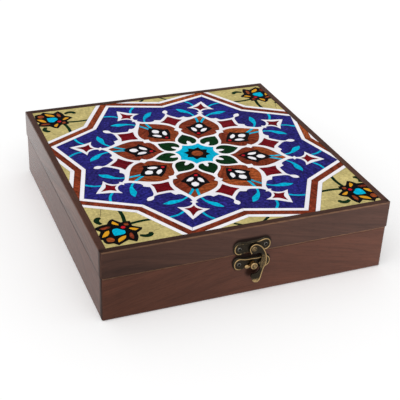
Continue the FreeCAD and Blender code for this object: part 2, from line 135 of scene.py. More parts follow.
# %% Colours
TOE_END, TOE_SLOPE = 0.04045, 12.92
CURVE_SHIFT, CURVE_POWER = 0.055, 2.4
MIX_A, MIX_B, MIX_COLOUR = 6, 7, 2


def screen_colour(red, green, blue):
    """A screen colour out of 255 as a linear colour with alpha."""
    linear = []
    for value in (red / 255, green / 255, blue / 255):
        if value <= TOE_END:
            linear.append(value / TOE_SLOPE)
        else:
            linear.append(((value + CURVE_SHIFT) / (1 + CURVE_SHIFT)) ** CURVE_POWER)
    return (*linear, 1.0)


def mix_colours(tree, factor, first, second, blend="MIX"):
    node = add_node(tree, "ShaderNodeMix", {0: factor, MIX_A: first, MIX_B: second},
                    data_type="RGBA", blend_type=blend)
    return node.outputs[MIX_COLOUR]


print("a middle grey on the screen is", round(screen_colour(128, 128, 128)[0], 3), "in linear light")


# %% Masks
class Grain(NamedTuple):
    """A noise: its grains in one metre along each axis, and how fine, rough and bent they are."""
    stretch: tuple
    detail: float = 3.0
    roughness: float = 0.55
    bend: float = 0.0


def noise(tree, place, grain):
    scaled = add_node(tree, "ShaderNodeVectorMath", {0: place, 1: grain.stretch}, operation="MULTIPLY")
    node = add_node(tree, "ShaderNodeTexNoise", {
        "Vector": scaled.outputs[0], "Scale": 1.0, "Detail": grain.detail, "Roughness": grain.roughness,
        "Distortion": grain.bend})
    return node.outputs[0]


def ramp(tree, value, low, high):
    """A mask that goes from 0 to 1 while the value goes from low to high."""
    node = add_node(tree, "ShaderNodeMapRange", {"Value": value, "From Min": low, "From Max": high})
    return node.outputs[0]


def between(tree, value, low, high):
    """Carry a mask from 0 and 1 to two other numbers."""
    return add_node(tree, "ShaderNodeMapRange", {"Value": value, "To Min": low, "To Max": high}).outputs[0]


def math_node(tree, operation, first, second=0.0):
    return add_node(tree, "ShaderNodeMath", {0: first, 1: second}, operation=operation).outputs[0]


def times(tree, first, *others):
    """The product of masks and numbers."""
    for other in others:
        first = math_node(tree, "MULTIPLY", first, other)
    return first


print("mask helpers ready")

# %% [markdown]
# ## Studio
# The box stands on a pale floor under even, soft light, as in a light tent: the sky gives most of it and
# one wide sun gives the shading a direction. The camera and mirrors see the floor and the sky as white.
# Area lamps would do as well, but their outlines would show as bright squares in the metal.

# %% Sky and sun
SKY_LEVEL = 0.62
SUN_LEVEL = 1.25
SUN_SPREAD = math.radians(80)
SUN_TURN = (math.radians(28), math.radians(-24), 0.0)
WHITE = (1.0, 1.0, 1.0, 1.0)


def seen_directly(tree):
    """1 for rays of the camera and of mirrors and glass, and 0 for the rays that carry light."""
    rays = add_node(tree, "ShaderNodeLightPath").outputs
    mirrors = math_node(tree, "MAXIMUM", rays["Is Glossy Ray"], rays["Is Transmission Ray"])
    return math_node(tree, "MAXIMUM", rays["Is Camera Ray"], mirrors)


world = bpy.data.worlds.new("studio_sky")
scene.world = world
world.use_nodes = True
level_of_sky = between(world.node_tree, seen_directly(world.node_tree), SKY_LEVEL, 1.0)
fill_sockets(world.node_tree, world.node_tree.nodes["Background"], {"Strength": level_of_sky, "Color": WHITE})

sun = bpy.data.objects.new("sun", bpy.data.lights.new("sun", "SUN"))
sun.data.energy = SUN_LEVEL
sun.data.angle = SUN_SPREAD
sun.rotation_euler = SUN_TURN
scene.collection.objects.link(sun)
print("sky at", SKY_LEVEL, "and sun at", SUN_LEVEL)

# %% Floor
FLOOR_REACH = 6.0
FLOOR_GLOW = 0.16
FLOOR_COLOUR = (0.93, 0.93, 0.93, 1.0)
FLOOR_ROUGHNESS = 0.9


def link_piece(name, mesh):
    """Put a mesh in the scene under the given name, at the origin."""
    piece = bpy.data.objects.new(name, mesh)
    scene.collection.objects.link(piece)
    return piece


floor_material, tree, shader = new_material("studio_floor")
fill_sockets(tree, shader, {
    "Emission Strength": times(tree, seen_directly(tree), FLOOR_GLOW), "Emission Color": WHITE,
    "Base Color": FLOOR_COLOUR, "Roughness": FLOOR_ROUGHNESS, "Specular IOR Level": 0.0})
floor_mesh = bpy.data.meshes.new("studio_floor")
floor_corners = [(-FLOOR_REACH, -FLOOR_REACH, 0), (FLOOR_REACH, -FLOOR_REACH, 0),
                 (FLOOR_REACH, FLOOR_REACH, 0), (-FLOOR_REACH, FLOOR_REACH, 0)]
floor_mesh.from_pydata(floor_corners, [], [(0, 1, 2, 3)])
floor_mesh.materials.append(floor_material)
floor = link_piece("studio_floor", floor_mesh)
print("floor reaches", FLOOR_REACH, "metres")

# %% [markdown]
# ## Walnut
# The boards are walnut with a satin finish. Long dark streaks and thin year lines run with the grain, and
# fine fibres and pores lie between them. All boards share this figure, so it is a node group, and each
# finish reads it at a place of its own. A picture of wood could be wrapped round the boards instead.
# Noise needs no picture, and it runs through the solid as the real figure does, so an edge shows no seam.

# %% Wood figure, shared by the boards
RING = Grain((3.5, 46.0, 46.0), 2.0, 0.5, 1.2)
STREAK = Grain((9.0, 130.0, 130.0), 4.0, 0.62, 0.5)
FIBRE = Grain((45.0, 950.0, 950.0), 3.0, 0.6)
PORE = Grain((160.0, 2600.0, 2600.0), 1.0, 0.5)
YEAR = Grain((5.0, 62.0, 62.0), 1.0, 0.4, 0.3)
RING_SHARE, STREAK_SHARE = 0.55, 0.45
STREAK_RANGE = (0.36, 0.64)
PORE_RANGE = (0.60, 0.70)
YEARS_IN_NOISE = 8.0
YEAR_LINE = (0.16, 0.0)

wood_figure, figure_in, figure_out = new_group(
    "wood_figure", "ShaderNodeTree", {"Place": "NodeSocketVector"},
    dict.fromkeys(("Streak", "Fibre", "Pore", "Year"), "NodeSocketFloat"))
place = figure_in.outputs["Place"]
broad = times(wood_figure, noise(wood_figure, place, RING), RING_SHARE)
fine = times(wood_figure, noise(wood_figure, place, STREAK), STREAK_SHARE)
streak = math_node(wood_figure, "ADD", broad, fine)
years = times(wood_figure, noise(wood_figure, place, YEAR), YEARS_IN_NOISE)
in_year = math_node(wood_figure, "SUBTRACT", math_node(wood_figure, "FRACT", years), 0.5)
fill_sockets(wood_figure, figure_out, {
    "Streak": ramp(wood_figure, streak, *STREAK_RANGE),
    "Fibre": noise(wood_figure, place, FIBRE),
    "Pore": ramp(wood_figure, noise(wood_figure, place, PORE), *PORE_RANGE),
    "Year": ramp(wood_figure, math_node(wood_figure, "ABSOLUTE", in_year), *YEAR_LINE)})
print("wood figure group:", len(wood_figure.nodes), "nodes")

# %% [markdown]
# ## Grain along the board
# The grain runs along each board, so boards that lie across the box read their coordinates in another
# order. A board sawn flat from the trunk shows its year lines as arches, so the breadth is bent along the
# board before the figure reads it. The hidden boards are plain and straight.

# %% Place on a board
WIDE_BOARD = ("X", "Y", "Z")
DEEP_BOARD = ("Y", "X", "Z")
FLAT_BOARD = ("X", "Z", "Y")
ARCH_SLOPE = 0.24
ARCH_ROUND = 25 * MM


def arched(tree, along, breadth, middle):
    """Bend the straight lines of a board into an arch whose top is at the given place along the board."""
    run = math_node(tree, "POWER", math_node(tree, "SUBTRACT", along, middle), 2.0)
    reach = math_node(tree, "SQRT", math_node(tree, "ADD", run, ARCH_ROUND ** 2))
    return math_node(tree, "ADD", breadth, times(tree, reach, ARCH_SLOPE))


def board_place(tree, parts, axes, arch):
    """The place that the figure reads, and the coordinate along the board."""
    along, through, breadth = (parts.outputs[axis] for axis in axes)
    if arch is not None:
        breadth = arched(tree, along, breadth, arch)
    place = add_node(tree, "ShaderNodeCombineXYZ", {0: along, 1: through, 2: breadth})
    return place.outputs[0], along


print("the arches rise", ARCH_SLOPE, "metres in each metre of board")

# %% [markdown]
# ## Stain and wax
# One function makes every walnut finish from a dark and a light tone. The fibres give a fine shade and a
# fine relief, and a thin coat of wax lies on top. Each board gets a painted light that changes its
# brightness evenly from one end to the other, and one end is better waxed than the other. Faces that look
# up are darkened as painted shade and carry less wax.
# Brushed masks could do this too, but a value along the board fits a board of any length.

# %% Walnut finish
BOARD_REACH = 110 * MM
FIBRE_RANGE = (0.30, 0.70)
FIBRE_SHADE = (0.86, 1.12)
YEAR_SHADE = (1.03, 0.9)
LOOKS_UP = (0.5, 0.9)
# Painted shade: the colour of faces that look up is multiplied by this share.
TOP_SHADE = 0.62
TOP_WAX = 0.1
PORE_DEPTH = 0.35
PORE_COLOUR = screen_colour(34, 20, 15)
# The colour of the painted shade and shadow, and the share of wax left under them.
SHADE_COLOUR = screen_colour(26, 17, 14)
SHADE_WAX = 0.1
WOOD_ROUGHNESS = (0.52, 0.40)
WOOD_SHINE = 0.02
WOOD_RELIEF = {"Strength": 0.25, "Distance": 0.1 * MM}
WAX = {"Coat IOR": 1.33, "Coat Roughness": 0.22}


def walnut(name, dark, light, axes, arch=None, rubbed=None, tone=(1.0, 1.0), wax=(0.5, 0.5), painted_shade=None):
    """A board's finish. Axes are length, thickness and breadth. Tone, which is painted light, and wax change
    from end to end.
    """
    material, tree, shader = new_material(name)
    sight = add_node(tree, "ShaderNodeTexCoord")
    parts = add_node(tree, "ShaderNodeSeparateXYZ", {0: sight.outputs["Object"]})
    place, along = board_place(tree, parts, axes, arch)
    figure = add_node(tree, "ShaderNodeGroup", {"Place": place}, node_tree=wood_figure).outputs
    fibre = ramp(tree, figure["Fibre"], *FIBRE_RANGE)
    end_to_end = ramp(tree, along, -BOARD_REACH, BOARD_REACH)
    facing = add_node(tree, "ShaderNodeSeparateXYZ", {0: sight.outputs["Normal"]})
    on_top = ramp(tree, facing.outputs["Z"], *LOOKS_UP)
    # Painted light: the colour brightens or darkens evenly from one end of the board to the other.
    light_drift = between(tree, end_to_end, *tone)
    # Faces that look up are darkened here as painted shade.
    shade = times(tree, between(tree, fibre, *FIBRE_SHADE), light_drift, between(tree, on_top, 1.0, TOP_SHADE),
                  between(tree, figure["Year"], *YEAR_SHADE))
    colour = mix_colours(tree, figure["Streak"], dark, light)
    colour = mix_colours(tree, 1.0, colour, shade, "MULTIPLY")
    colour = mix_colours(tree, times(tree, figure["Pore"], PORE_DEPTH), colour, PORE_COLOUR)
    # The pale edge line is partly rubbed wear and partly a painted highlight, and it also takes the painted
    # light along the board.
    if rubbed:
        mask, pale = rubbed(tree, parts, fibre)
        colour = mix_colours(tree, mask, colour, mix_colours(tree, 1.0, pale, light_drift, "MULTIPLY"))
    waxed = times(tree, between(tree, end_to_end, *wax), between(tree, on_top, 1.0, TOP_WAX))
    # Painted shade in the seam and at the front corners, and a painted shadow round the latch, darken the
    # colour and the wax.
    if painted_shade:
        shaded = painted_shade(tree, parts)
        colour = mix_colours(tree, shaded, colour, SHADE_COLOUR)
        waxed = times(tree, waxed, between(tree, shaded, 1.0, SHADE_WAX))
    bump = add_node(tree, "ShaderNodeBump", {"Height": fibre, **WOOD_RELIEF})
    fill_sockets(tree, shader, {
        "Base Color": colour, "Roughness": between(tree, fibre, *WOOD_ROUGHNESS), "Coat Weight": waxed,
        "Normal": bump.outputs[0], "Specular IOR Level": WOOD_SHINE, **WAX})
    return material


print("a finish changes over", 2 * BOARD_REACH, "metres of a board")

# %% [markdown]
# ## Rubbed edges and painted highlights
# A pale line runs along the long outer edges. It is partly stain that hands and cloths rub off, and partly a
# painted highlight where the edge catches the light. The mask is worked out from the distance to the edge,
# and the fibres break it up, because the hard ones lose their stain first. A brushed mask would have to be
# made again whenever the box changes its size.


# %% Rubbed edges and painted highlights
class WornAndLitEdge(NamedTuple):
    """Where the mask starts and is full, in millimetres from the edge, its least share and its tone."""
    below: tuple
    behind: tuple
    least: float
    pale: tuple


# Pale edge lines on the lid's top edge and the tray's top bevel: partly rubbed wear and partly a painted
# highlight.
LID_EDGE = WornAndLitEdge((1.17, 0.63), (1.17, 0.54), 0.25, screen_colour(124, 90, 66))
SEAM_EDGE = WornAndLitEdge((1.7, 1.02), (2.04, 1.7), 0.35, screen_colour(146, 108, 82))
lid_front_low, lid_front_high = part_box("lid_front")
base_front_low, base_front_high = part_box("base_front")
base_top = base_front_high.z


def worn_and_lit_edge(top, face, edge):
    """A pale edge line at a height, along the outer faces of the front and back boards: rubbed wear and a
    painted highlight.
    """

    def rubbed(tree, parts, fibre):
        near_top = ramp(tree, parts.outputs["Z"], *(top - depth * MM for depth in edge.below))
        distance = math_node(tree, "ABSOLUTE", parts.outputs["Y"])
        outer = ramp(tree, distance, *(face - depth * MM for depth in edge.behind))
        return times(tree, near_top, outer, math_node(tree, "ADD", fibre, edge.least)), edge.pale

    return rubbed


lid_wear_and_highlight = worn_and_lit_edge(lid_front_high.z, -lid_front_low.y, LID_EDGE)
seam_wear_and_highlight = worn_and_lit_edge(base_top, -base_front_low.y, SEAM_EDGE)
print("rubbed edges at", [round(height / MM, 1) for height in (base_top, lid_front_high.z)], "mm")

# %% [markdown]
# ## Painted shade and shadow
# Painted shade darkens the wood in the seam of the side boards and beside their front corners, and a
# painted shadow lies round the latch. The first two are distances to an edge, and the patches round the
# latch are soft rods of a given length and radius.

# %% Painted shade on the side boards
tray_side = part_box("base_right")[1].x
# Painted shade: a dark line along the seam between lid and tray, and beside the front upright corners.
SEAM_SHADE = (1.9 * MM, 0.5 * MM)
SKIN_DEPTHS = (0.8 * MM, 0.4 * MM)
MIDWAY_FRONT = (-120 * MM, -80 * MM)
MIDWAY_BACK = (80 * MM, 30 * MM)
MIDWAY_SHADE = (0.3, 0.95)
CORNER_DEPTHS = (7.5 * MM, 4.0 * MM)
ROUND_DEPTHS = (1.5 * MM, 2.8 * MM)
ROUND_SHADE = (0.6, 1.0)
CORNER_SHADE = 0.8


def seam_and_corner_shade(tree, parts):
    """Painted shade along the middle of the seam and at the front upright corners of the side boards."""
    behind = parts.outputs["Y"]
    height = math_node(tree, "ABSOLUTE", math_node(tree, "SUBTRACT", parts.outputs["Z"], base_top))
    aside = math_node(tree, "ABSOLUTE", parts.outputs["X"])
    outside = ramp(tree, aside, *(tray_side - depth for depth in SKIN_DEPTHS))
    midway = times(tree, ramp(tree, behind, *MIDWAY_FRONT), ramp(tree, behind, *MIDWAY_BACK))
    in_seam = times(tree, ramp(tree, height, *SEAM_SHADE), outside, between(tree, midway, *MIDWAY_SHADE))
    at_corner = ramp(tree, behind, *(lid_front_low.y + depth for depth in CORNER_DEPTHS))
    before_round = ramp(tree, behind, *(lid_front_low.y + depth for depth in ROUND_DEPTHS))
    at_corner = times(tree, at_corner, between(tree, before_round, *ROUND_SHADE), CORNER_SHADE)
    return math_node(tree, "MAXIMUM", in_seam, at_corner)


print("side faces at", round(tray_side / MM, 1), "mm")


# %% Painted shadow round the latch
class ShadowPatch(NamedTuple):
    """A soft rod in millimetres: its middle, half its length, its radius and fade, and its strength."""
    x: float
    z: float
    half: float
    radius: float
    fade: float
    strength: float


# Painted shadow: soft dark patches above and beside the latch plate, between the plates, and under the post.
LID_SHADOWS = [ShadowPatch(-0.8, 48.3, 10.5, 5.0, 2.0, 0.95)]
TRAY_SHADOWS = [ShadowPatch(-2.5, 33.0, 8.5, 5.5, 1.4, 0.97), ShadowPatch(0.5, 21.0, 1.0, 3.0, 2.5, 0.75)]
FRONT_DEPTHS = (4 * MM, 3 * MM)


def latch_shadow(smudges):
    """A painted shadow round the latch, in long soft patches on the front boards."""

    def shaded(tree, parts):
        whole = 0.0
        for patch in smudges:
            aside = math_node(tree, "SUBTRACT", parts.outputs["X"], patch.x * MM)
            past_end = math_node(tree, "SUBTRACT", math_node(tree, "ABSOLUTE", aside), patch.half * MM)
            above = math_node(tree, "SUBTRACT", parts.outputs["Z"], patch.z * MM)
            offset = add_node(tree, "ShaderNodeCombineXYZ", {
                0: math_node(tree, "MAXIMUM", past_end, 0.0), 1: above})
            away = add_node(tree, "ShaderNodeVectorMath", {0: offset.outputs[0]}, operation="LENGTH")
            mask = ramp(tree, away.outputs["Value"], (patch.radius + patch.fade) * MM, patch.radius * MM)
            whole = math_node(tree, "MAXIMUM", whole, times(tree, mask, patch.strength))
        in_front = ramp(tree, parts.outputs["Y"], *(lid_front_low.y + depth for depth in FRONT_DEPTHS))
        return times(tree, whole, in_front)

    return shaded


print("patches of dirt round the latch:", len(LID_SHADOWS + TRAY_SHADOWS))

# %% [markdown]
# ## Finishes of the boards
# The tray is redder than the lid, and the inside is plain oiled wood. The front and back boards share one
# finish and the two sides another, because their grain runs the other way. One finish for all boards
# would be shorter, but the figure would run across half of them.

# %% Walnut for every board
BASE_TONES = (screen_colour(87, 51, 38), screen_colour(102, 60, 45))
LID_TONES = (screen_colour(64, 41, 33), screen_colour(89, 58, 47))
INSIDE_TONES = (screen_colour(84, 50, 34), screen_colour(122, 78, 52))
# Painted light: each pair is how much the colour is brightened or darkened at the two ends of a board.
WIDE_LIGHT_DRIFT, WIDE_WAX = (0.77, 1.2), (0.45, 1.0)
TRAY_LIGHT_DRIFT, TRAY_WAX = (0.9, 1.0), (0.46, 0.82)
LID_LIGHT_DRIFT, LID_WAX = (1.6, 1.35), (0.45, 0.93)
walnuts = {
    "base_wide": walnut("walnut_tray_wide", *BASE_TONES, WIDE_BOARD, arch=5 * MM, rubbed=seam_wear_and_highlight,
                        tone=WIDE_LIGHT_DRIFT, wax=WIDE_WAX, painted_shade=latch_shadow(TRAY_SHADOWS)),
    "base_deep": walnut("walnut_tray_deep", *BASE_TONES, DEEP_BOARD, arch=60 * MM,
                        tone=TRAY_LIGHT_DRIFT, wax=TRAY_WAX, painted_shade=seam_and_corner_shade),
    "lid_wide": walnut("walnut_lid_wide", *LID_TONES, WIDE_BOARD, arch=-110 * MM, rubbed=lid_wear_and_highlight,
                       tone=WIDE_LIGHT_DRIFT, wax=WIDE_WAX, painted_shade=latch_shadow(LID_SHADOWS)),
    "lid_deep": walnut("walnut_lid_deep", *LID_TONES, DEEP_BOARD, arch=-60 * MM,
                       tone=LID_LIGHT_DRIFT, wax=LID_WAX, painted_shade=seam_and_corner_shade),
    "inside": walnut("walnut_inside", *INSIDE_TONES, FLAT_BOARD),
}
print("walnut finishes:", ", ".join(walnuts))

# %% [markdown]
# ## Boards with rounded corners
# The upright corners of the box are worn round by about three millimetres, and the solids have them eased
# by two. A bevel would also catch the mitres, so a copy of each board is cut by planes that touch the wider
# round, every cut is closed, and the copy stands in for the solid. The bottom board and the lid's panel
# have no such edge and only get their finish.

# %% Cutting a corner round
UPRIGHT_ROUND = 2.8 * MM
ROUND_TURNS = [math.radians(angle) for angle in (6, 20, 34, 45, 56, 70, 84)]
CORNER_SIDES = ((-1, -1), (1, -1), (-1, 1), (1, 1))
SAME_POINT = 1e-6
ON_PLANE = 1e-7


def cut_away(shape, touch, outwards):
    """Cut off what lies outside a plane and close the cut."""
    cut = bmesh.ops.bisect_plane(
        shape, geom=shape.verts[:] + shape.edges[:] + shape.faces[:], dist=ON_PLANE,
        plane_co=touch, plane_no=outwards, clear_outer=True)
    rim = [part for part in cut["geom_cut"] if isinstance(part, bmesh.types.BMEdge)]
    if rim:
        bmesh.ops.edgenet_fill(shape, edges=rim)


def round_corners(shape, corner):
    """Cut the four upright corners of the whole box round, as far as a board reaches into them."""
    for turn in ROUND_TURNS:
        for x_side, y_side in CORNER_SIDES:
            outwards = Vector((x_side * math.cos(turn), y_side * math.sin(turn), 0))
            middle = Vector((x_side * (corner.x - UPRIGHT_ROUND), y_side * (corner.y - UPRIGHT_ROUND), 0))
            cut_away(shape, middle + outwards * UPRIGHT_ROUND, outwards)
    bmesh.ops.recalc_face_normals(shape, faces=shape.faces[:])


print("corners get", len(ROUND_TURNS), "cuts on a round of", round(UPRIGHT_ROUND / MM, 1), "mm")


# %% Rounded boards
def finish_node(name, material):
    """Give a carried-over solid its finish."""
    nodes[name].data.materials.clear()
    nodes[name].data.materials.append(material)


def rounded_board(name, material, body, corner):
    """A copy of a board whose upright outer edges are rounded further, in place of the solid."""
    shape = bmesh.new()
    shape.from_mesh(nodes[name].data)
    bmesh.ops.remove_doubles(shape, verts=shape.verts[:], dist=SAME_POINT)
    round_corners(shape, corner)
    mesh = bpy.data.meshes.new(f"{name}_board")
    shape.to_mesh(mesh)
    shape.free()
    mesh.materials.append(material)
    piece = link_piece(f"{name}_board", mesh)
    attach(piece, body)
    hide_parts(name)
    print(piece.name, len(mesh.polygons), "faces")


for owner in ("base", "lid"):
    corner = Vector((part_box(f"{owner}_right")[1].x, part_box(f"{owner}_back")[1].y))
    for side, run in (("front", "wide"), ("back", "wide"), ("left", "deep"), ("right", "deep")):
        rounded_board(f"{owner}_{side}", walnuts[f"{owner}_{run}"], owner, corner)
finish_node("base_bottom", walnuts["inside"])
finish_node("lid_panel", walnuts["inside"])

# %% [markdown]
# ## Coloured woods of the mosaic
# Each colour is a thin stained wood, matt and finely grained. Pieces of one colour differ a little,
# because they come from different strips, so every piece carries a number of its own, called tint, that
# turns its grain and shifts its colour. A material for every piece would do the same, but there are
# hundreds of them.

# %% Tile grain, shared by the coloured woods
FULL_TURNS = 40.0
TILE_FIBRE = Grain((60.0, 430.0, 430.0), 3.0, 0.6)
TILE_CLOUD = Grain((70.0, 70.0, 70.0), 3.0, 0.6)
TILE_SPECK = Grain((440.0, 440.0, 440.0), 3.0, 0.6)
TILE_RANGE = (0.28, 0.72)
tile_grain, grain_in, grain_out = new_group(
    "tile_grain", "ShaderNodeTree", {"Tint": "NodeSocketFloat"},
    dict.fromkeys(("Grain", "Cloud", "Speck"), "NodeSocketFloat"))
coords = add_node(tile_grain, "ShaderNodeTexCoord").outputs["Object"]
turn = times(tile_grain, grain_in.outputs["Tint"], FULL_TURNS)
turned_place = add_node(tile_grain, "ShaderNodeVectorRotate", {"Vector": coords, "Angle": turn},
                        rotation_type="Z_AXIS").outputs[0]
for label, place, grain in (("Grain", turned_place, TILE_FIBRE), ("Cloud", coords, TILE_CLOUD),
                            ("Speck", coords, TILE_SPECK)):
    grains = ramp(tile_grain, noise(tile_grain, place, grain), *TILE_RANGE)
    fill_sockets(tile_grain, grain_out, {label: grains})
print("tile grain group:", len(tile_grain.nodes), "nodes")


# %% Coloured woods
class Stain(NamedTuple):
    """A wood's name, its colour, the colour some pieces lean to, and how far three grains shade it."""
    name: str
    colour: tuple
    other: tuple
    grain: float
    cloud: float
    speck: float


STAINS = {
    "blue": Stain("stained_blue", (38, 34, 103), (37, 37, 119), 0.35, 0.16, 0.8),
    "white": Stain("pale_white", (247, 245, 249), (241, 239, 244), 0.02, 0.03, 0.05),
    "brown": Stain("warm_brown", (118, 48, 28), (162, 82, 39), 0.5, 0.15, 0.5),
    "cream": Stain("pale_cream", (192, 177, 117), (200, 184, 122), 0.12, 0.14, 0.24),
    "black": Stain("stained_black", (5, 4, 7), (10, 8, 10), 0.3, 0.1, 0.3),
    "green": Stain("stained_green", (2, 40, 12), (4, 46, 16), 0.5, 0.1, 0.4),
    "cyan": Stain("stained_cyan", (0, 178, 213), (0, 168, 206), 0.15, 0.1, 0.28),
    "dark_red": Stain("stained_dark_red", (110, 10, 20), (98, 14, 26), 0.4, 0.1, 0.35),
    "red": Stain("stained_red", (192, 22, 40), (178, 20, 36), 0.1, 0.1, 0.1),
    "yellow": Stain("warm_yellow", (222, 158, 34), (214, 150, 44), 0.12, 0.08, 0.1),
    "stem": Stain("stained_stem", (6, 36, 16), (10, 44, 20), 0.2, 0.1, 0.2),
}
LEAN_RANGE = (0.45, 1.0)
TILE_ROUGHNESS = (0.6, 0.4)
TILE_SHINE = 0.01
TILE_RELIEF = {"Strength": 0.3, "Distance": 0.05 * MM}


def coloured_wood(stain):
    material, tree, shader = new_material(stain.name)
    tint = add_node(tree, "ShaderNodeAttribute", attribute_name="tint").outputs["Fac"]
    figure = add_node(tree, "ShaderNodeGroup", {"Tint": tint}, node_tree=tile_grain).outputs
    base = mix_colours(tree, ramp(tree, tint, *LEAN_RANGE), screen_colour(*stain.colour),
                       screen_colour(*stain.other))
    shade = 1.0
    for label, amount in (("Grain", stain.grain), ("Cloud", stain.cloud), ("Speck", stain.speck)):
        shade = times(tree, shade, between(tree, figure[label], 1.0 - amount, 1.0 + amount))
    bump = add_node(tree, "ShaderNodeBump", {"Height": figure["Grain"], **TILE_RELIEF})
    fill_sockets(tree, shader, {
        "Base Color": mix_colours(tree, 1.0, base, shade, "MULTIPLY"), "Normal": bump.outputs[0],
        "Roughness": between(tree, figure["Grain"], *TILE_ROUGHNESS), "Specular IOR Level": TILE_SHINE})
    return material


woods = {colour: coloured_wood(stain) for colour, stain in STAINS.items()}
print("coloured woods:", ", ".join(woods))

# %% [markdown]
# ## Drawing the mosaic
# The mosaic is a flat puzzle, so it is drawn as closed outlines first. Most of it repeats eight times
# round the middle of the lid, and only one sector is drawn, in hundredths of the distance from the middle
# to a notch of the star. Outlines are smooth runs that meet in sharp corners. It could be a pattern on
# one flat board, but real joints and chamfers catch the light, so every piece is cut.

# %% Outlines
FOLDS = 8
HALF_SECTOR = math.pi / FOLDS
NOTCH = 100.0
STAR_TIP = 121.0
field_low, field_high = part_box("mosaic_blue_field")
module = (field_high.x - field_low.x) / 2 / (STAR_TIP * math.cos(HALF_SECTOR)) / MM
CURVE_STEP = 1.0


def smooth(points, step=CURVE_STEP):
    """Points along a smooth run through the given ones, without the last."""
    points = [Vector(point) for point in points]
    slopes = []
    for before, after in zip(points[:1] + points[:-1], points[1:] + points[-1:]):
        slopes.append((after - before) / 2)
    slopes[0] = points[1] - points[0]
    slopes[-1] = points[-1] - points[-2]
    line = []
    for start, end, leave, arrive in zip(points, points[1:], slopes, slopes[1:]):
        count = max(2, math.ceil((end - start).length / step) + 1) if len(points) > 2 else 2
        line += interpolate_bezier(start, start + leave / 3, end - arrive / 3, end, count)[:-1]
    return [Vector((point[0], point[1])) for point in line]


def outline(*runs, step=CURVE_STEP):
    """A closed loop of runs, each starting where the last one ended."""
    return [point for run in runs for point in smooth(run, step)]


def mirrored(*runs, step=CURVE_STEP):
    """A loop that is drawn on one side of its axis and repeated on the other."""
    half = outline(*runs, step=step) + [Vector(runs[-1][-1])]
    return half + [Vector((u, -v)) for u, v in reversed(half[1:-1])]


print("one hundredth of the star's notch radius is", round(module, 4), "mm")


# %% Shapes from outlines
def half_of(*runs):
    """One half of a piece that lies across a sector's border, closed along the border."""
    return outline(*runs) + [Vector(runs[-1][-1])]


RING_POINTS = 28


def ring(centre, radius):
    angles = [2 * math.pi * step / RING_POINTS for step in range(RING_POINTS)]
    return [Vector(centre) + radius * Vector((math.cos(angle), math.sin(angle))) for angle in angles]


def flipped(loop):
    return [Vector((u, -v)) for u, v in loop]


def beside_border(loop):
    """Move a loop drawn along a notch axis, on the side of the sector's middle, to its place."""
    across = Matrix.Rotation(-HALF_SECTOR, 2)
    return [across @ Vector(point) for point in loop]


def stroke(path, widths):
    """A strip along a smooth path, whose half width changes evenly between the given ones."""
    line = smooth(path) + [Vector(path[-1])]
    left, right = [], []
    for index, point in enumerate(line):
        ahead = line[min(index + 1, len(line) - 1)] - line[max(index - 1, 0)]
        aside = Vector((-ahead.y, ahead.x)).normalized()
        along = index / (len(line) - 1) * (len(widths) - 1)
        lower = min(int(along), len(widths) - 2)
        half = widths[lower] + (widths[lower + 1] - widths[lower]) * (along - lower)
        left.append(point + aside * half)
        right.append(point - aside * half)
    return left + right[::-1]


print("a seed is a ring of", RING_POINTS, "points")

# %% [markdown]
# ## One sector of the rosette
# Pieces are listed from the bottom up: a later outline covers an earlier one, as in a stack of cut paper.
# The blue ground comes first, with two saw cuts in it, and then the cyan vines and the white lattice.
# Outlines that meet their neighbours exactly could be drawn as well, but then a change of one would open
# gaps beside it.


# %% Laying one piece on another
class Piece(NamedTuple):
    """A colour, or None for a saw cut, an outline, and the number of a piece that it stays inside."""
    colour: str
    loop: list
    within: int


sector = []


def lay(colour, loop, within=None):
    """Add a piece on top of the ones before it and give its number."""
    sector.append(Piece(colour, loop, within))
    return len(sector) - 1


def lay_pair(colour, loop, within=None):
    lay(colour, loop, within)
    lay(colour, flipped(loop), within)


def polar(radius, angle):
    return Vector((radius * math.cos(angle), radius * math.sin(angle)))


print("a sector is", round(math.degrees(2 * HALF_SECTOR)), "degrees wide")

# %% Ground, vines and lattice
SAW = 0.1
SAW_START = 92.0
blue = lay("blue", [
    Vector((0, 0)), polar(NOTCH, -HALF_SECTOR), Vector((STAR_TIP, 0)), polar(NOTCH, HALF_SECTOR)])
lay_pair(None, stroke([(88.6, 24.0), (89.4, 29.0), (85.9, 35.5)], [SAW, SAW]), blue)
lay_pair(None, beside_border([(SAW_START, 0), (NOTCH, 0), (NOTCH, SAW), (SAW_START, SAW)]), blue)
vine_leaf = outline(
    [(74.6, 4.4), (77.4, 5.2), (80.6, 7.3), (84.1, 10.1), (87.0, 13.7), (89.1, 17.2), (89.9, 20.8),
     (89.5, 24.2)],
    [(89.5, 24.2), (86.8, 21.8), (83.6, 18.7), (82.4, 15.0), (81.3, 11.4), (79.0, 8.4), (74.0, 5.6)],
    [(74.0, 5.6), (74.6, 4.4)])
lay_pair("cyan", vine_leaf, blue)
lay_pair("cyan", stroke([(97.0, 6.0), (101.2, 8.8), (104.6, 11.8), (109.4, 19.0)], [1.05, 1.15]), blue)

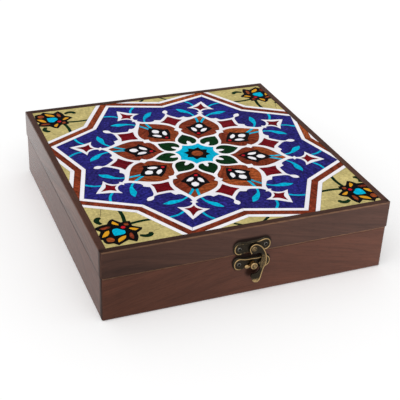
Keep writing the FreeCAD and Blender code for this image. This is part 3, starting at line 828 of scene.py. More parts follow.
finial = half_of(
    [(93.2, 0), (91.4, 1.9), (88.8, 2.6), (86.6, 1.9), (84.6, 0.7)],
    [(84.6, 0.7), (82.4, 1.1), (80.2, 2.2), (78.0, 3.9), (76.0, 5.7), (74.0, 7.4), (72.4, 9.3)],
    [(72.4, 9.3), (73.2, 11.6), (74.1, 14.4)],
    [(74.1, 14.4), (72.2, 15.8)])
star_half = outline(
    [(72.6, -13.0), (72.8, -10.2), (74.6, -7.6), (76.4, -5.3), (78.6, -3.2), (82.4, -1.3)],
    [(82.4, -1.3), (84.1, -3.5)],
    [(84.1, -3.5), (85.3, -1.3)],
    [(85.3, -1.3), (87.0, -1.4), (89.4, -2.3), (91.6, -4.7), (92.9, -7.6), (93.2, -12.9)],
    [(93.2, -12.9), (96.2, -9.7), (100.0, -6.5), (105.0, -3.3), (109.8, 0)]) + [Vector((109.8, 0))]
lattice_side = beside_border(finial)[:-1] + star_half
lay("white", [Vector((0, 0))] + lattice_side + flipped(lattice_side[-2::-1]))
print("pieces of ground, vines and lattice:", len(sector))

# %% [markdown]
# ## In the openings of the lattice
# A pointed brown petal fills each large opening, with a cyan vine across it, and a red heart fills the
# small star at the end. Green leaves, dark red diamonds and small white tufts lie on the borders between
# sectors. Only half of such a piece is drawn, and the other half comes with the next sector, which keeps
# it in step with both.

# %% Petals, leaves, diamonds and hearts
petal = lay("brown", mirrored([(28.4, 0), (31.0, 2.1), (33.4, 4.7), (35.6, 8.6), (38.4, 13.2)],
                              [(38.4, 13.2), (41.2, 15.4), (44.8, 17.2), (51.4, 18.4), (58.4, 16.8),
                               (65.0, 12.0), (70.6, 6.2), (76.8, 0)]))
shoulder = [Vector(corner) for corner in ((49.6, 9.0), (48.6, 20.0), (62.0, 20.0), (80.0, 7.0), (72.0, 4.4),
                                          (66.0, 3.0), (59.0, 1.0))]
lay_pair("brown", shoulder, petal)
vine = stroke([(59.0, 0.7), (65.2, 1.9), (68.2, 2.7), (72.7, 4.0), (78.0, 6.0)], [1.25, 1.15])
lay_pair("cyan", vine, petal)
lay_pair("green", beside_border(half_of(
    [(25.2, 0), (23.2, 1.5), (21.0, 1.9), (19.0, 2.1)],
    [(19.0, 2.1), (18.9, 4.0), (20.6, 6.3), (23.6, 7.9), (27.0, 8.1), (31.4, 6.2), (35.0, 3.2), (38.2, 0)])))
lay_pair("dark_red", beside_border(half_of(
    [(57.2, 0), (60.2, 2.3), (63.3, 4.7), (68.1, 10.7)],
    [(68.1, 10.7), (70.1, 7.1), (72.4, 4.7), (78.0, 0)])))
lay_pair("white", beside_border(half_of(
    [(44.4, 0), (46.0, 1.7), (47.4, 2.3)], [(47.4, 2.3), (48.8, 4.1)], [(48.8, 4.1), (50.6, 2.7)],
    [(50.6, 2.7), (53.0, 0)])))
lay("dark_red", mirrored([(89.3, 0), (92.8, 2.3), (94.9, 7.3)], [(94.9, 7.3), (98.3, 2.9), (105.0, 0)]))
print("pieces up to the hearts:", len(sector))

# %% [markdown]
# ## Rose and buds
# The rose in the middle has a wavy cyan rim, a black star and a brown button. A black bud with white
# flecks and a red seed lies on each petal. They come last, so they lie on top.

# %% Rose and buds
rose_edge = [polar(15.6, -HALF_SECTOR), polar(15.9, -0.66 * HALF_SECTOR), polar(17.0, -0.34 * HALF_SECTOR),
             Vector((19.3, 0))]
rose_half = smooth(rose_edge)
lay("cyan", [Vector((0, 0))] + rose_half + [Vector((19.3, 0))] + flipped(rose_half[::-1]))
lay("black", [Vector((0, 0)), polar(8.4, -HALF_SECTOR), Vector((11.5, 0)), polar(8.4, HALF_SECTOR)])
lay("brown", [Vector((0, 0)), polar(5.2, -HALF_SECTOR), Vector((5.0, 0)), polar(5.2, HALF_SECTOR)])
lay("black", mirrored([(35.0, 0), (38.4, 3.1), (41.4, 5.8), (45.4, 8.8), (52.0, 12.2)],
                      [(52.0, 12.2), (53.6, 8.8), (57.2, 6.0), (60.8, 3.6), (64.2, 0)]))
lay_pair("white", outline([(43.3, 2.4), (44.6, 4.9), (47.8, 6.7), (51.0, 7.4)],
                          [(51.0, 7.4), (50.4, 4.2), (47.8, 2.2), (45.2, 1.6), (43.3, 2.4)]))
lay("white", mirrored([(50.8, 0), (53.0, 2.9)], [(53.0, 2.9), (55.0, 3.2), (56.8, 2.7)],
                      [(56.8, 2.7), (58.5, 1.0), (58.7, 0)]))
lay("red", ring((39.7, 0), 1.6))
print("pieces in one sector:", len(sector))

# %% [markdown]
# ## From outlines to pieces
# A constrained triangulation cuts the plane along every outline, and each triangle belongs to the topmost
# piece that covers it. Cutting each piece by hand with booleans would be slower and would fail where
# edges touch.

# %% Cutting the plane
SNAP = 1e-4
ON_BORDER = 1e-3


def anticlockwise(loop):
    area = sum(a.x * b.y - b.x * a.y for a, b in zip(loop, loop[1:] + loop[:1]))
    return loop if area > 0 else loop[::-1]


def partition(pieces, scale):
    """Triangles of the plane cut along all loops, with the number of the piece on top of each."""
    points, rings = [], []
    for piece in pieces:
        loop = anticlockwise(piece.loop)
        rings.append(list(range(len(points), len(points) + len(loop))))
        points += [point * scale for point in loop]
    flat, _, triangles, _, _, covers = delaunay_2d_cdt(points, [], rings, 1, SNAP)
    cells = []
    for triangle, cover in zip(triangles, covers):
        allowed = [number for number in cover if pieces[number].within in (None, *cover)]
        if allowed:
            cells.append((triangle, max(allowed)))
    return flat, cells


def on_sector_border(point):
    turn = abs(abs(math.atan2(point.y, point.x)) - HALF_SECTOR)
    return turn * point.length < ON_BORDER or point.length < SNAP


def never(point):
    return False


print("triangles in one sector:", len(partition(sector, module)[1]))


# %% Where pieces end
def border_sliver(corners, continues):
    """Rounding can leave a triangle without any width along the border."""
    a, b, c = corners
    longest = max((b - a).length, (c - b).length, (a - c).length)
    flat_as_line = abs((b - a).cross(c - a)) < ON_BORDER * longest
    return flat_as_line and all(continues(corner) for corner in corners)


def outer_walls(pieces, flat, cells, continues):
    """The edges where a piece ends, and the inward normals at each of its corners."""
    owner = {}
    for cell, label in cells:
        for a, b in zip(cell, cell[1:] + cell[:1]):
            owner[a, b] = label
    walls, inward = [], {}
    for (a, b), label in owner.items():
        crossed = pieces[label].colour != "blue" and continues(flat[a]) and continues(flat[b])
        if crossed or owner.get((b, a)) == label:
            continue
        normal = Vector((flat[a].y - flat[b].y, flat[b].x - flat[a].x)).normalized()
        for vertex in (a, b):
            inward.setdefault((label, vertex), []).append(normal)
        walls.append((a, b, label))
    return walls, inward


print("walls in one sector:", len(outer_walls(sector, *partition(sector, module), on_sector_border)[0]))

# %% [markdown]
# ## Thickness and joints
# Each piece is drawn in a little at its edges, which leaves a fine joint, gets a small chamfer and a
# thickness, and is closed underneath. Edges on the sector's border stay where they are, so that the
# halves of a piece meet again when the sector is repeated. A Solidify modifier would give the thickness,
# but neither the joint nor the chamfer.

# %% Drawing a piece in
JOINT = 0.07
CHAMFER = 0.07
TILE_DEPTH = 0.6
LEVELS = {"top": (JOINT + CHAMFER, 0.0), "edge": (JOINT, CHAMFER), "foot": (JOINT, TILE_DEPTH)}
LEAST_LEAN = 0.35
LEAST_MITRE = 0.3


def drawn_in(point, normals, distance):
    """A corner moved inwards. With one wall it lies on the sector's border and slides along it."""
    if not normals:
        return point
    if len(normals) == 1:
        line = point.normalized()
        lean = line.dot(normals[0])
        return point + line * (distance / math.copysign(max(abs(lean), LEAST_LEAN), lean))
    total = sum(normals, Vector((0, 0)))
    return point + total * (distance * len(normals) / max(total.length_squared, LEAST_MITRE))


print("joints between pieces are", 2 * JOINT, "mm wide")

# %% Thick pieces
tile_top = field_high.z / MM


class Relief:
    """The vertices and faces of all pieces of one colour."""

    def __init__(self):
        self.points = []
        self.numbers = {}
        self.faces = []

    def corner(self, key, place):
        if key not in self.numbers:
            self.numbers[key] = len(self.points)
            self.points.append(place * MM)
        return self.numbers[key]


def cut_pieces(pieces, scale, continues):
    """Thick pieces by colour. Continues says which points lie on a border that pieces cross."""
    flat, cells = partition(pieces, scale)
    cells = [(cell, label) for cell, label in cells
             if not border_sliver([flat[number] for number in cell], continues)]
    walls, inward = outer_walls(pieces, flat, cells, continues)
    reliefs = {}

    def corner(label, vertex, level):
        distance, drop = LEVELS[level]
        place = drawn_in(flat[vertex], inward.get((label, vertex)), distance)
        relief = reliefs[pieces[label].colour]
        return relief.corner((label, vertex, level), Vector((place.x, place.y, tile_top - drop)))

    for cell, label in cells:
        if pieces[label].colour is None:
            continue
        relief = reliefs.setdefault(pieces[label].colour, Relief())
        relief.faces.append([corner(label, vertex, "top") for vertex in cell])
        relief.faces.append([corner(label, vertex, "foot") for vertex in reversed(cell)])
    for a, b, label in walls:
        if pieces[label].colour is None:
            continue
        for lower, upper in (("edge", "top"), ("foot", "edge")):
            reliefs[pieces[label].colour].faces.append([
                corner(label, a, lower), corner(label, b, lower),
                corner(label, b, upper), corner(label, a, upper)])
    return reliefs


rosette = cut_pieces(sector, module, on_sector_border)
print("faces in one sector:", {colour: len(relief.faces) for colour, relief in rosette.items()})

# %% [markdown]
# ## A star laid by hand
# The star's sixteen corners aren't quite regular, because its strips were fitted one by one. Their places
# are listed in millimetres, and a field of small shifts carries every point of the regular pattern to its
# place: the inner part turns and stretches as a whole, and the outer fifth leans over to the strips.
# Pieces could be moved one by one, but a field of shifts keeps neighbours together.

# %% Shifts of the hand-laid star
STAR_CORNERS = [Vector(corner) for corner in (
    (106.4, -1.9), (119.0, 47.1), (76.7, 72.5), (52.2, 115.2), (5.9, 101.3), (-44.8, 117.0), (-70.2, 73.2),
    (-114.3, 48.6), (-100.2, 0.2), (-114.8, -47.7), (-71.8, -71.3), (-46.6, -115.9), (2.5, -100.9),
    (51.0, -115.8), (76.1, -72.6), (119.0, -48.5))]
MIDDLE = Vector((2.8, 0.2))
INNER_STRETCH = Matrix(((1.009, 0.0053), (-0.006, 0.998)))
REGULAR = [polar((STAR_TIP if step % 2 else NOTCH) * module, HALF_SECTOR * step)
           for step in range(2 * FOLDS)]
LEAN_START = 0.8


def hand_laid(point):
    """Where a point of the regular pattern, given from its middle in millimetres, lies on the lid."""
    inner = MIDDLE + INNER_STRETCH @ point
    if point.length < SNAP:
        return inner
    step = int(math.atan2(point.y, point.x) % (2 * math.pi) / HALF_SECTOR) % (2 * FOLDS)
    after = (step + 1) % (2 * FOLDS)
    sides = Matrix((REGULAR[step], REGULAR[after])).transposed()
    share, share_after = sides.inverted() @ point
    reach = share + share_after
    edge = (STAR_CORNERS[step] * share + STAR_CORNERS[after] * share_after) / reach
    ray = point / reach
    outer = inner + edge - (MIDDLE + INNER_STRETCH @ ray)
    lean = min(max((reach - LEAN_START) / (1 - LEAN_START), 0.0), 1.0)
    return inner.lerp(outer, lean * lean * (3 - 2 * lean))


largest = max((hand_laid(corner) - MIDDLE - corner).length for corner in REGULAR)
print("largest shift of a corner in mm:", round(largest, 1))

# %% [markdown]
# ## Repeating the sector
# Geometry Nodes turn the sector eight times round the middle, join the halves that meet, and give each
# separate piece its own tint and a height that differs by a hair, as hand-laid wood does. The same tree
# with one copy finishes the border. An Array modifier could repeat it too, but it has no number for each
# piece.

# %% Tree that repeats and varies pieces
FLOAT_LOW, FLOAT_HIGH, RANDOM_ID, RANDOM_SEED, RANDOM_FLOAT = 2, 3, 7, 8, 1
WELD = 0.004 * MM

laid_tree, laid_in, laid_out = new_group("hand_laid_pieces", "GeometryNodeTree", {
    "Pieces": "NodeSocketGeometry", "Copies": "NodeSocketInt", "Height spread": "NodeSocketFloat",
    "Seed": "NodeSocketInt", "Finish": "NodeSocketMaterial"}, {"Pieces": "NodeSocketGeometry"})
count = laid_in.outputs["Copies"]
spots = add_node(laid_tree, "GeometryNodePoints", {"Count": count})
index = add_node(laid_tree, "GeometryNodeInputIndex").outputs[0]
turn = times(laid_tree, math_node(laid_tree, "DIVIDE", index, count), 2 * math.pi)
first_turn = times(laid_tree, math_node(laid_tree, "GREATER_THAN", count, 1.0), HALF_SECTOR)
euler = add_node(laid_tree, "ShaderNodeCombineXYZ", {"Z": math_node(laid_tree, "ADD", turn, first_turn)})
rotation = add_node(laid_tree, "FunctionNodeEulerToRotation", {0: euler.outputs[0]})
copies = add_node(laid_tree, "GeometryNodeInstanceOnPoints", {
    "Points": spots.outputs[0], "Instance": laid_in.outputs["Pieces"], "Rotation": rotation.outputs[0]})
real = add_node(laid_tree, "GeometryNodeRealizeInstances", {0: copies.outputs[0]})
welded = add_node(laid_tree, "GeometryNodeMergeByDistance", {"Geometry": real.outputs[0], "Distance": WELD})
island = add_node(laid_tree, "GeometryNodeInputMeshIsland").outputs["Island Index"]
chance = add_node(laid_tree, "FunctionNodeRandomValue", {
    FLOAT_LOW: 0.0, FLOAT_HIGH: 1.0, RANDOM_ID: island, RANDOM_SEED: laid_in.outputs["Seed"]},
    data_type="FLOAT").outputs[RANDOM_FLOAT]
tinted = add_node(laid_tree, "GeometryNodeStoreNamedAttribute", {
    "Geometry": welded.outputs[0], "Name": "tint", "Value": chance}, data_type="FLOAT", domain="POINT")
drop = times(laid_tree, chance, laid_in.outputs["Height spread"], -1.0)
sunk = add_node(laid_tree, "ShaderNodeCombineXYZ", {"Z": drop})
settled = add_node(laid_tree, "GeometryNodeSetPosition", {
    "Geometry": tinted.outputs[0], "Offset": sunk.outputs[0]})
finished = add_node(laid_tree, "GeometryNodeSetMaterial", {
    "Geometry": settled.outputs[0], "Material": laid_in.outputs["Finish"]})
laid_tree.links.new(finished.outputs[0], laid_out.inputs[0])
print("tree of hand-laid pieces:", len(laid_tree.nodes), "nodes")

# %% [markdown]
# ## Laying the rosette
# A tree runs as a modifier, and its result is kept as a plain mesh, so nothing is left to be worked out
# later. One object holds all pieces of one colour. Every point is then carried to its place in the
# hand-laid star.


# %% Running a tree
def run_tree(piece, tree, values):
    """Run a node tree on a piece and keep the result as a plain mesh."""
    modifier = piece.modifiers.new(tree.name, "NODES")
    modifier.node_group = tree
    for item in tree.interface.items_tree:
        if item.in_out == "INPUT" and item.name in values:
            modifier[item.identifier] = values[item.name]
    graph = bpy.context.evaluated_depsgraph_get()
    mesh = bpy.data.meshes.new_from_object(piece.evaluated_get(graph), depsgraph=graph)
    mesh.name = piece.name
    piece.modifiers.clear()
    plain = piece.data
    piece.data = mesh
    bpy.data.meshes.remove(plain)
    return piece


print("the tree's inputs:", [item.name for item in laid_tree.interface.items_tree if item.in_out == "INPUT"])

# %% Lay the rosette
HEIGHT_SPREAD = 0.03 * MM
ROSETTE_SEED = 4


def lay_pieces(kind, reliefs, copies, replaced, first_seed, shifts=None):
    """Make one object of each colour, riding on the lid in place of the solids that it stands for."""
    for seed, (colour, relief) in enumerate(reliefs.items(), first_seed):
        mesh = bpy.data.meshes.new(f"{kind}_{colour}")
        mesh.from_pydata(relief.points, [], relief.faces)
        piece = run_tree(link_piece(f"{kind}_{colour}", mesh), laid_tree, {
            "Copies": copies, "Height spread": HEIGHT_SPREAD, "Seed": seed, "Finish": woods[colour]})
        if shifts:
            for vertex in piece.data.vertices:
                vertex.co.xy = shifts(vertex.co.xy / MM) * MM
        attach(piece, "lid")
        if colour in replaced:
            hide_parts(*replaced[colour])
        print(piece.name, len(piece.data.polygons), "faces")


lay_pieces("rosette", rosette, FOLDS, {
    "blue": ["mosaic_blue_field"], "white": ["mosaic_lattice"], "green": ["mosaic_leaves"],
    "brown": ["mosaic_petals", "mosaic_rose_button"], "cyan": ["mosaic_vine_leaves", "mosaic_rose_rim"],
    "black": ["mosaic_buds", "mosaic_rose_star"], "dark_red": ["mosaic_diamonds", "mosaic_star_hearts"],
}, ROSETTE_SEED, hand_laid)

# %% [markdown]
# ## Border and corners
# Three strips follow the star, white, brown and white, mitred at every turn and cut off by the lid's rim.
# The four corners are pale ground with a black-edged flower, stems and curled leaves. These pieces don't
# repeat evenly, because the star isn't quite in the middle, so they are cut in one go inside the rim.

# %% Star strips
border = []
lid_low, lid_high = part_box("lid_panel")
panel_half = (lid_high - lid_low) / 2 / MM
RIM_JOINT = 0.1
INNER_LINE, BROWN_BAND, OUTER_LINE = 3.7, 5.8, 3.7


def put(colour, loop, within=None):
    border.append(Piece(colour, [Vector(point) for point in loop], within))
    return len(border) - 1


def grown_star(distance):
    """The star's corners, with its sides moved outwards."""
    normals = []
    for a, b in zip(STAR_CORNERS, STAR_CORNERS[1:] + STAR_CORNERS[:1]):
        normals.append(Vector((b.y - a.y, a.x - b.x)).normalized())
    moved = []
    for corner, before, after in zip(STAR_CORNERS, normals[-1:] + normals[:-1], normals):
        moved.append(corner + (before + after) * (distance / (1 + before.dot(after))))
    return moved


frame_x, frame_y = panel_half.x - RIM_JOINT, panel_half.y - RIM_JOINT
rim = put("cream", [(-frame_x, -frame_y), (frame_x, -frame_y), (frame_x, frame_y), (-frame_x, frame_y)])
print("space inside the rim in mm:", round(2 * frame_x, 1), "by", round(2 * frame_y, 1))

# %% [markdown]
# ## Corner flowers
# Each corner holds a flower on a black ground, drawn once along the line from the middle of the lid to
# the corner and set at four measured places. Its petals are drawn in a little, so that the black shows
# round them like the lead of a window. A Mirror modifier would set them evenly, and the real ones are not
# even.

# %% Outlines of a flower
FLOWERS = {
    (-1, -1): (-102.9, -104.2), (1, -1): (107.9, -105.3), (-1, 1): (-103.9, 104.7), (1, 1): (110.0, 103.8)}
GROUND = mirrored(
    [(-18.2, 0), (-15.6, 2.6), (-12.8, 4.9)], [(-12.8, 4.9), (-13.2, 8.1), (-14.1, 13.2)],
    [(-14.1, 13.2), (-11.1, 14.2), (-7.5, 13.7), (-5.4, 13.2)],
    [(-5.4, 13.2), (-1.5, 16.3), (2.6, 18.2), (5.9, 18.9)], [(5.9, 18.9), (6.3, 15.7), (6.7, 12.2)],
    [(6.7, 12.2), (12.2, 10.4), (16.6, 9.4)], [(16.6, 9.4), (16.4, 6.3), (16.2, 4.6)],
    [(16.2, 4.6), (18.4, 2.4), (19.4, 0)])
HEART = mirrored([(-4.3, 0), (-4.6, 3.8)], [(-4.6, 3.8), (-2.6, 5.7), (-0.2, 6.2), (3.0, 4.6), (7.4, 0)])
LOWER_PETAL = outline([(-11.7, 12.1), (-8.0, 11.0), (-7.2, 8.0), (-7.9, 3.9)],
                      [(-7.9, 3.9), (-9.6, 4.8), (-10.8, 8.0), (-11.7, 12.1)])
SIDE_PETAL = outline([(-4.2, 8.3), (-2.8, 11.0), (0.6, 14.0), (4.4, 15.7)],
                     [(4.4, 15.7), (3.2, 11.4), (-0.8, 8.5), (-4.2, 8.3)])
UPPER_PETAL = outline([(1.0, 7.6), (4.8, 9.3), (10.0, 8.6), (14.2, 7.2)],
                      [(14.2, 7.2), (11.2, 5.0), (8.0, 4.3), (4.0, 5.4), (1.0, 7.6)])
TOP_PETAL = mirrored([(9.4, 0), (10.4, 2.6), (13.2, 3.9), (15.6, 2.6), (16.8, 0)])
SMALL_PETAL = mirrored([(-10.2, 0), (-11.2, 2.0), (-12.8, 2.4), (-15.2, 0)])
COMMA = outline(
    [(-4.5, 16.4), (-1.8, 17.4)],
    [(-1.8, 17.4), (-2.2, 21.0), (-3.8, 24.0), (-7.2, 25.6), (-10.4, 25.0), (-11.6, 22.9), (-10.4, 21.2),
     (-8.2, 21.4), (-6.0, 20.0), (-4.5, 16.4)])
print("points round the flower's ground:", len(GROUND))

# %% Flowers and side leaves
LEAD = 0.87


def within_lead(loop):
    """A petal drawn in towards its middle, so that more of the black shows round it."""
    middle = sum(loop, Vector((0, 0))) / len(loop)
    return [middle + (point - middle) * LEAD for point in loop]


def flower(corner, centre):
    """One flower with its leaves: p runs to the corner of the lid and q across."""
    out = Vector(corner).normalized()
    aside = Vector((-out.y, out.x))

    def put_one(colour, loop):
        put(colour, [Vector(centre) + out * p + aside * q for p, q in loop], rim)

    def put_both(colour, loop):
        put_one(colour, loop)
        put_one(colour, flipped(loop))

    put_both("stem", stroke([(-14.0, 2.0), (-22.4, 8.4), (-30.0, 16.4)], [1.5, 1.5]))
    put_both("stem", COMMA)
    put_both(None, stroke([(-10.4, 22.8), (-16.0, 24.6), (-26.0, 30.0)], [SAW, SAW]))
    put_one("black", GROUND)
    put_both("yellow", within_lead(LOWER_PETAL))
    put_both("brown", within_lead(SIDE_PETAL))
    put_both("yellow", within_lead(UPPER_PETAL))
    put_one("brown", within_lead(TOP_PETAL))
    put_one("brown", within_lead(SMALL_PETAL))
    put_one("cyan", within_lead(HEART))
    put_one("red", ring((-7.4, 0), 1.9))


for corner, centre in FLOWERS.items():
    flower(corner, centre)
SIDE_LEAVES = [((-7.0, -124.6), (-13.2, -120.2)), ((10.4, -124.6), (17.4, -119.2)),
               ((-5.4, 126.0), (-11.8, 120.4)), ((9.0, 126.0), (15.4, 118.6))]
for start, end in SIDE_LEAVES:
    put("stem", stroke([start, end], [1.0, 1.3]), rim)
print("pieces in the corners:", len(border))

# %% [markdown]
# ## Cutting the border
# The strips of the star go on top of the corners, one piece for each side of the star, with a saw cut at
# every mitre. The star itself is left open for the rosette.

# %% Cut the border
BORDER_SEED = 9
MITRE_CUT = 0.5 * SAW
edges = [0.0]
for width in (INNER_LINE, BROWN_BAND, OUTER_LINE):
    edges.append(edges[-1] + width)
for colour, inner, outer in zip(("white", "brown", "white"), edges, edges[1:]):
    near, far = grown_star(inner), grown_star(outer)
    for step in range(2 * FOLDS):
        after = (step + 1) % (2 * FOLDS)
        put(colour, [near[step], near[after], far[after], far[step]], rim)
for corner, outer_corner in zip(grown_star(edges[0]), grown_star(edges[-1])):
    put(None, stroke([corner, outer_corner], [MITRE_CUT, MITRE_CUT]), rim)
put(None, grown_star(0.0))
border_reliefs = cut_pieces(border, 1.0, never)
lay_pieces("border", border_reliefs, 1, {
    "white": ["mosaic_inner_line", "mosaic_outer_line"],
    "brown": ["mosaic_brown_band", "flower_brown_petals"],
    "cream": ["mosaic_corner_ground"], "black": ["flower_ground"], "yellow": ["flower_yellow_petals"],
    "cyan": ["flower_hearts"],
}, BORDER_SEED)

# %% [markdown]
# ## Glue bed
# The pieces lie on a thin dark bed of glue and wood dust, which shows only in the joints. It was spread
# with a toothed spatula, so its top keeps low waves, and it is one closed sheet on the lid's panel. A
# plain slab would fill the joints too, but so even a dark line looks drawn.

# %% Glue finish
BED_COLOURS = (screen_colour(22, 15, 12), screen_colour(48, 34, 26))
BED_GRAIN = Grain((900.0, 900.0, 900.0))
BED_ROUGHNESS = 0.8
bed_material, tree, shader = new_material("glue_bed")
coords = add_node(tree, "ShaderNodeTexCoord").outputs["Object"]
bed_colour = mix_colours(tree, noise(tree, coords, BED_GRAIN), *BED_COLOURS)
fill_sockets(tree, shader, {"Base Color": bed_colour, "Roughness": BED_ROUGHNESS})
print("glue finish:", len(tree.nodes), "nodes")

# %% Glue bed
BED_RISE = 0.25
BED_CELLS = 40
BED_WAVE = 0.04
TOOTH_RATE, SWING, SWING_RATE, FADE_RATE = 0.9, 2.0, 0.11, 0.07
bed_top = tile_top - TILE_DEPTH + BED_RISE


def wave(x, y):
    """The height of the comb marks at a place in millimetres."""
    return BED_WAVE * math.sin(TOOTH_RATE * x + SWING * math.sin(SWING_RATE * y)) * math.cos(FADE_RATE * y)


def spread_glue(name, low, high, top, material):
    """A closed sheet with a flat foot and a waved top."""
    points, faces = [], []
    count = BED_CELLS + 1
    for level in ("foot", "top"):
        for row in range(count):
            for column in range(count):
                x = low.x + (high.x - low.x) * column / BED_CELLS
                y = low.y + (high.y - low.y) * row / BED_CELLS
                points.append(Vector((x, y, top + wave(x, y) if level == "top" else high.z)) * MM)
    for row in range(BED_CELLS):
        for column in range(BED_CELLS):
            corner = row * count + column
            cell = [corner, corner + 1, corner + count + 1, corner + count]
            faces.append(cell[::-1])
            faces.append([number + count * count for number in cell])
    last = count * BED_CELLS
    border_walk = (list(range(BED_CELLS)) + list(range(BED_CELLS, last + BED_CELLS, count))
                   + list(range(last + BED_CELLS, last, -1)) + list(range(last, 0, -count)))
    for here, after in zip(border_walk, border_walk[1:] + border_walk[:1]):
        faces.append([here, after, after + count * count, here + count * count])
    mesh = bpy.data.meshes.new(name)
    mesh.from_pydata(points, [], faces)
    mesh.materials.append(material)
    return link_piece(name, mesh)


bed = spread_glue("glue_bed", lid_low / MM, lid_high / MM, bed_top, bed_material)
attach(bed, "lid")
print("bed top at", round(bed_top, 2), "mm")

# %% [markdown]
# ## Aged bronze
# The latch is stamped from thin metal with a dark patina, and handling has rubbed its raised edges back
# to gold. Each piece carries a number called rub at its points: 0 keeps the patina and 1 shows the gold,
# and a fine noise breaks the change between them. On the beads and the strike post the gold is partly a
# painted highlight and the patina partly painted shade. A mask from the sharpness of an edge could place the
# gold, but hands rub some edges and miss others, so the wear is given for each piece.

# %% Metals
BLOTCH = Grain((900.0, 900.0, 900.0), 3.0, 0.6)
METAL_GRAIN = Grain((1100.0, 1100.0, 1100.0), 3.0, 0.6)
RUB_RANGE = (0.25, 0.75)
GRAIN_SHADE = (0.2, 1.8)
METAL_ROUGHNESS = (0.46, 0.30)
METAL_RELIEF = {"Strength": 0.4, "Distance": 0.08 * MM}
metal_wear, wear_in, wear_out = new_group(
    "metal_wear", "ShaderNodeTree", {"Rub": "NodeSocketFloat"},
    {"Gold": "NodeSocketFloat", "Grain": "NodeSocketFloat"})
coords = add_node(metal_wear, "ShaderNodeTexCoord").outputs["Object"]
blotch = math_node(metal_wear, "SUBTRACT", noise(metal_wear, coords, BLOTCH), 0.5)
uneven = math_node(metal_wear, "ADD", wear_in.outputs["Rub"], blotch)
fill_sockets(metal_wear, wear_out, {
    "Gold": ramp(metal_wear, uneven, *RUB_RANGE), "Grain": noise(metal_wear, coords, METAL_GRAIN)})


def aged_metal(name, patina, bright):
    """Metal between its dark patina and its rubbed colour."""
    material, tree, shader = new_material(name)
    rub = add_node(tree, "ShaderNodeAttribute", attribute_name="rub").outputs["Fac"]
    wear = add_node(tree, "ShaderNodeGroup", {"Rub": rub}, node_tree=metal_wear).outputs
    colour = mix_colours(tree, wear["Gold"], patina, bright)
    colour = mix_colours(tree, 1.0, colour, between(tree, wear["Grain"], *GRAIN_SHADE), "MULTIPLY")
    bump = add_node(tree, "ShaderNodeBump", {"Height": wear["Grain"], **METAL_RELIEF})
    fill_sockets(tree, shader, {
        "Base Color": colour, "Roughness": between(tree, wear["Gold"], *METAL_ROUGHNESS),
        "Normal": bump.outputs[0], "Metallic": 1.0})
    return material


bronze = aged_metal("aged_bronze", screen_colour(48, 43, 35), screen_colour(168, 141, 98))
steel = aged_metal("screw_steel", screen_colour(40, 38, 37), screen_colour(170, 165, 156))
brass = aged_metal("hinge_brass", screen_colour(120, 98, 62), screen_colour(190, 160, 104))
for side in ("left", "right"):
    for piece in ("base_leaf", "lid_leaf", "pin"):
        finish_node(f"hinge_{side}_{piece}", brass)
print("metals:", bronze.name, steel.name, brass.name)

# %% [markdown]
# ## Stamped plates
# A plate is an outline stepped through a few rings: back edge, front edge, a small round and the field,
# which swells a little in the middle. A solid bevelled all round would be as thick at its edge as in its
# middle, so the rings are joined by hand and both faces are filled with triangles.

# %% Filling outlines
FILL_SPACING = 1.2
FILL_MARGIN = 0.6 * FILL_SPACING
SOFT_EDGE = 35.0


def inset(loop, distance):
    """Move an anticlockwise loop inwards."""
    moved = []
    for before, here, after in zip(loop[-1:] + loop[:-1], loop, loop[1:] + loop[:1]):
        along = (after - before).normalized()
        moved.append(here + Vector((-along.y, along.x)) * distance)
    return moved


def fill(loop):
    """Triangles inside a loop, with inner points on a grid, as points and numbered corners."""
    width = [min(point.x for point in loop), max(point.x for point in loop)]
    height = [min(point.y for point in loop), max(point.y for point in loop)]
    inner = []
    for column in range(int((width[1] - width[0]) / FILL_SPACING) + 1):
        for row in range(int((height[1] - height[0]) / FILL_SPACING) + 1):
            point = Vector((width[0] + column * FILL_SPACING, height[0] + row * FILL_SPACING))
            if min((point - corner).length for corner in loop) > FILL_MARGIN:
                inner.append(point)
    rings = [list(range(len(loop)))]
    points, _, triangles, sources, _, _ = delaunay_2d_cdt(loop + inner, [], rings, 1, SNAP)
    number = {source: index for index, group in enumerate(sources) for source in group}
    return points, triangles, [number[index] for index in range(len(loop))]


def smooth_mesh(mesh, soft=SOFT_EDGE):
    """Shade smooth, with sharp edges where faces meet at more than the given degrees."""
    for face in mesh.polygons:
        face.use_smooth = True
    mesh.set_sharp_from_angle(angle=math.radians(soft))


def store_rub(mesh, rub):
    """Write the rubbed share of each point, from a function of its place in millimetres."""
    mesh.attributes.new("rub", "FLOAT", "POINT")
    for vertex, value in zip(mesh.vertices, mesh.attributes["rub"].data):
        value.value = rub(vertex.co / MM)


print("inner points of a plate lie", FILL_SPACING, "mm apart")

# %% Plates from outlines
CROWN_REACH = 2.5


def plain(place):
    return place


def unrubbed(place):
    return 0.0


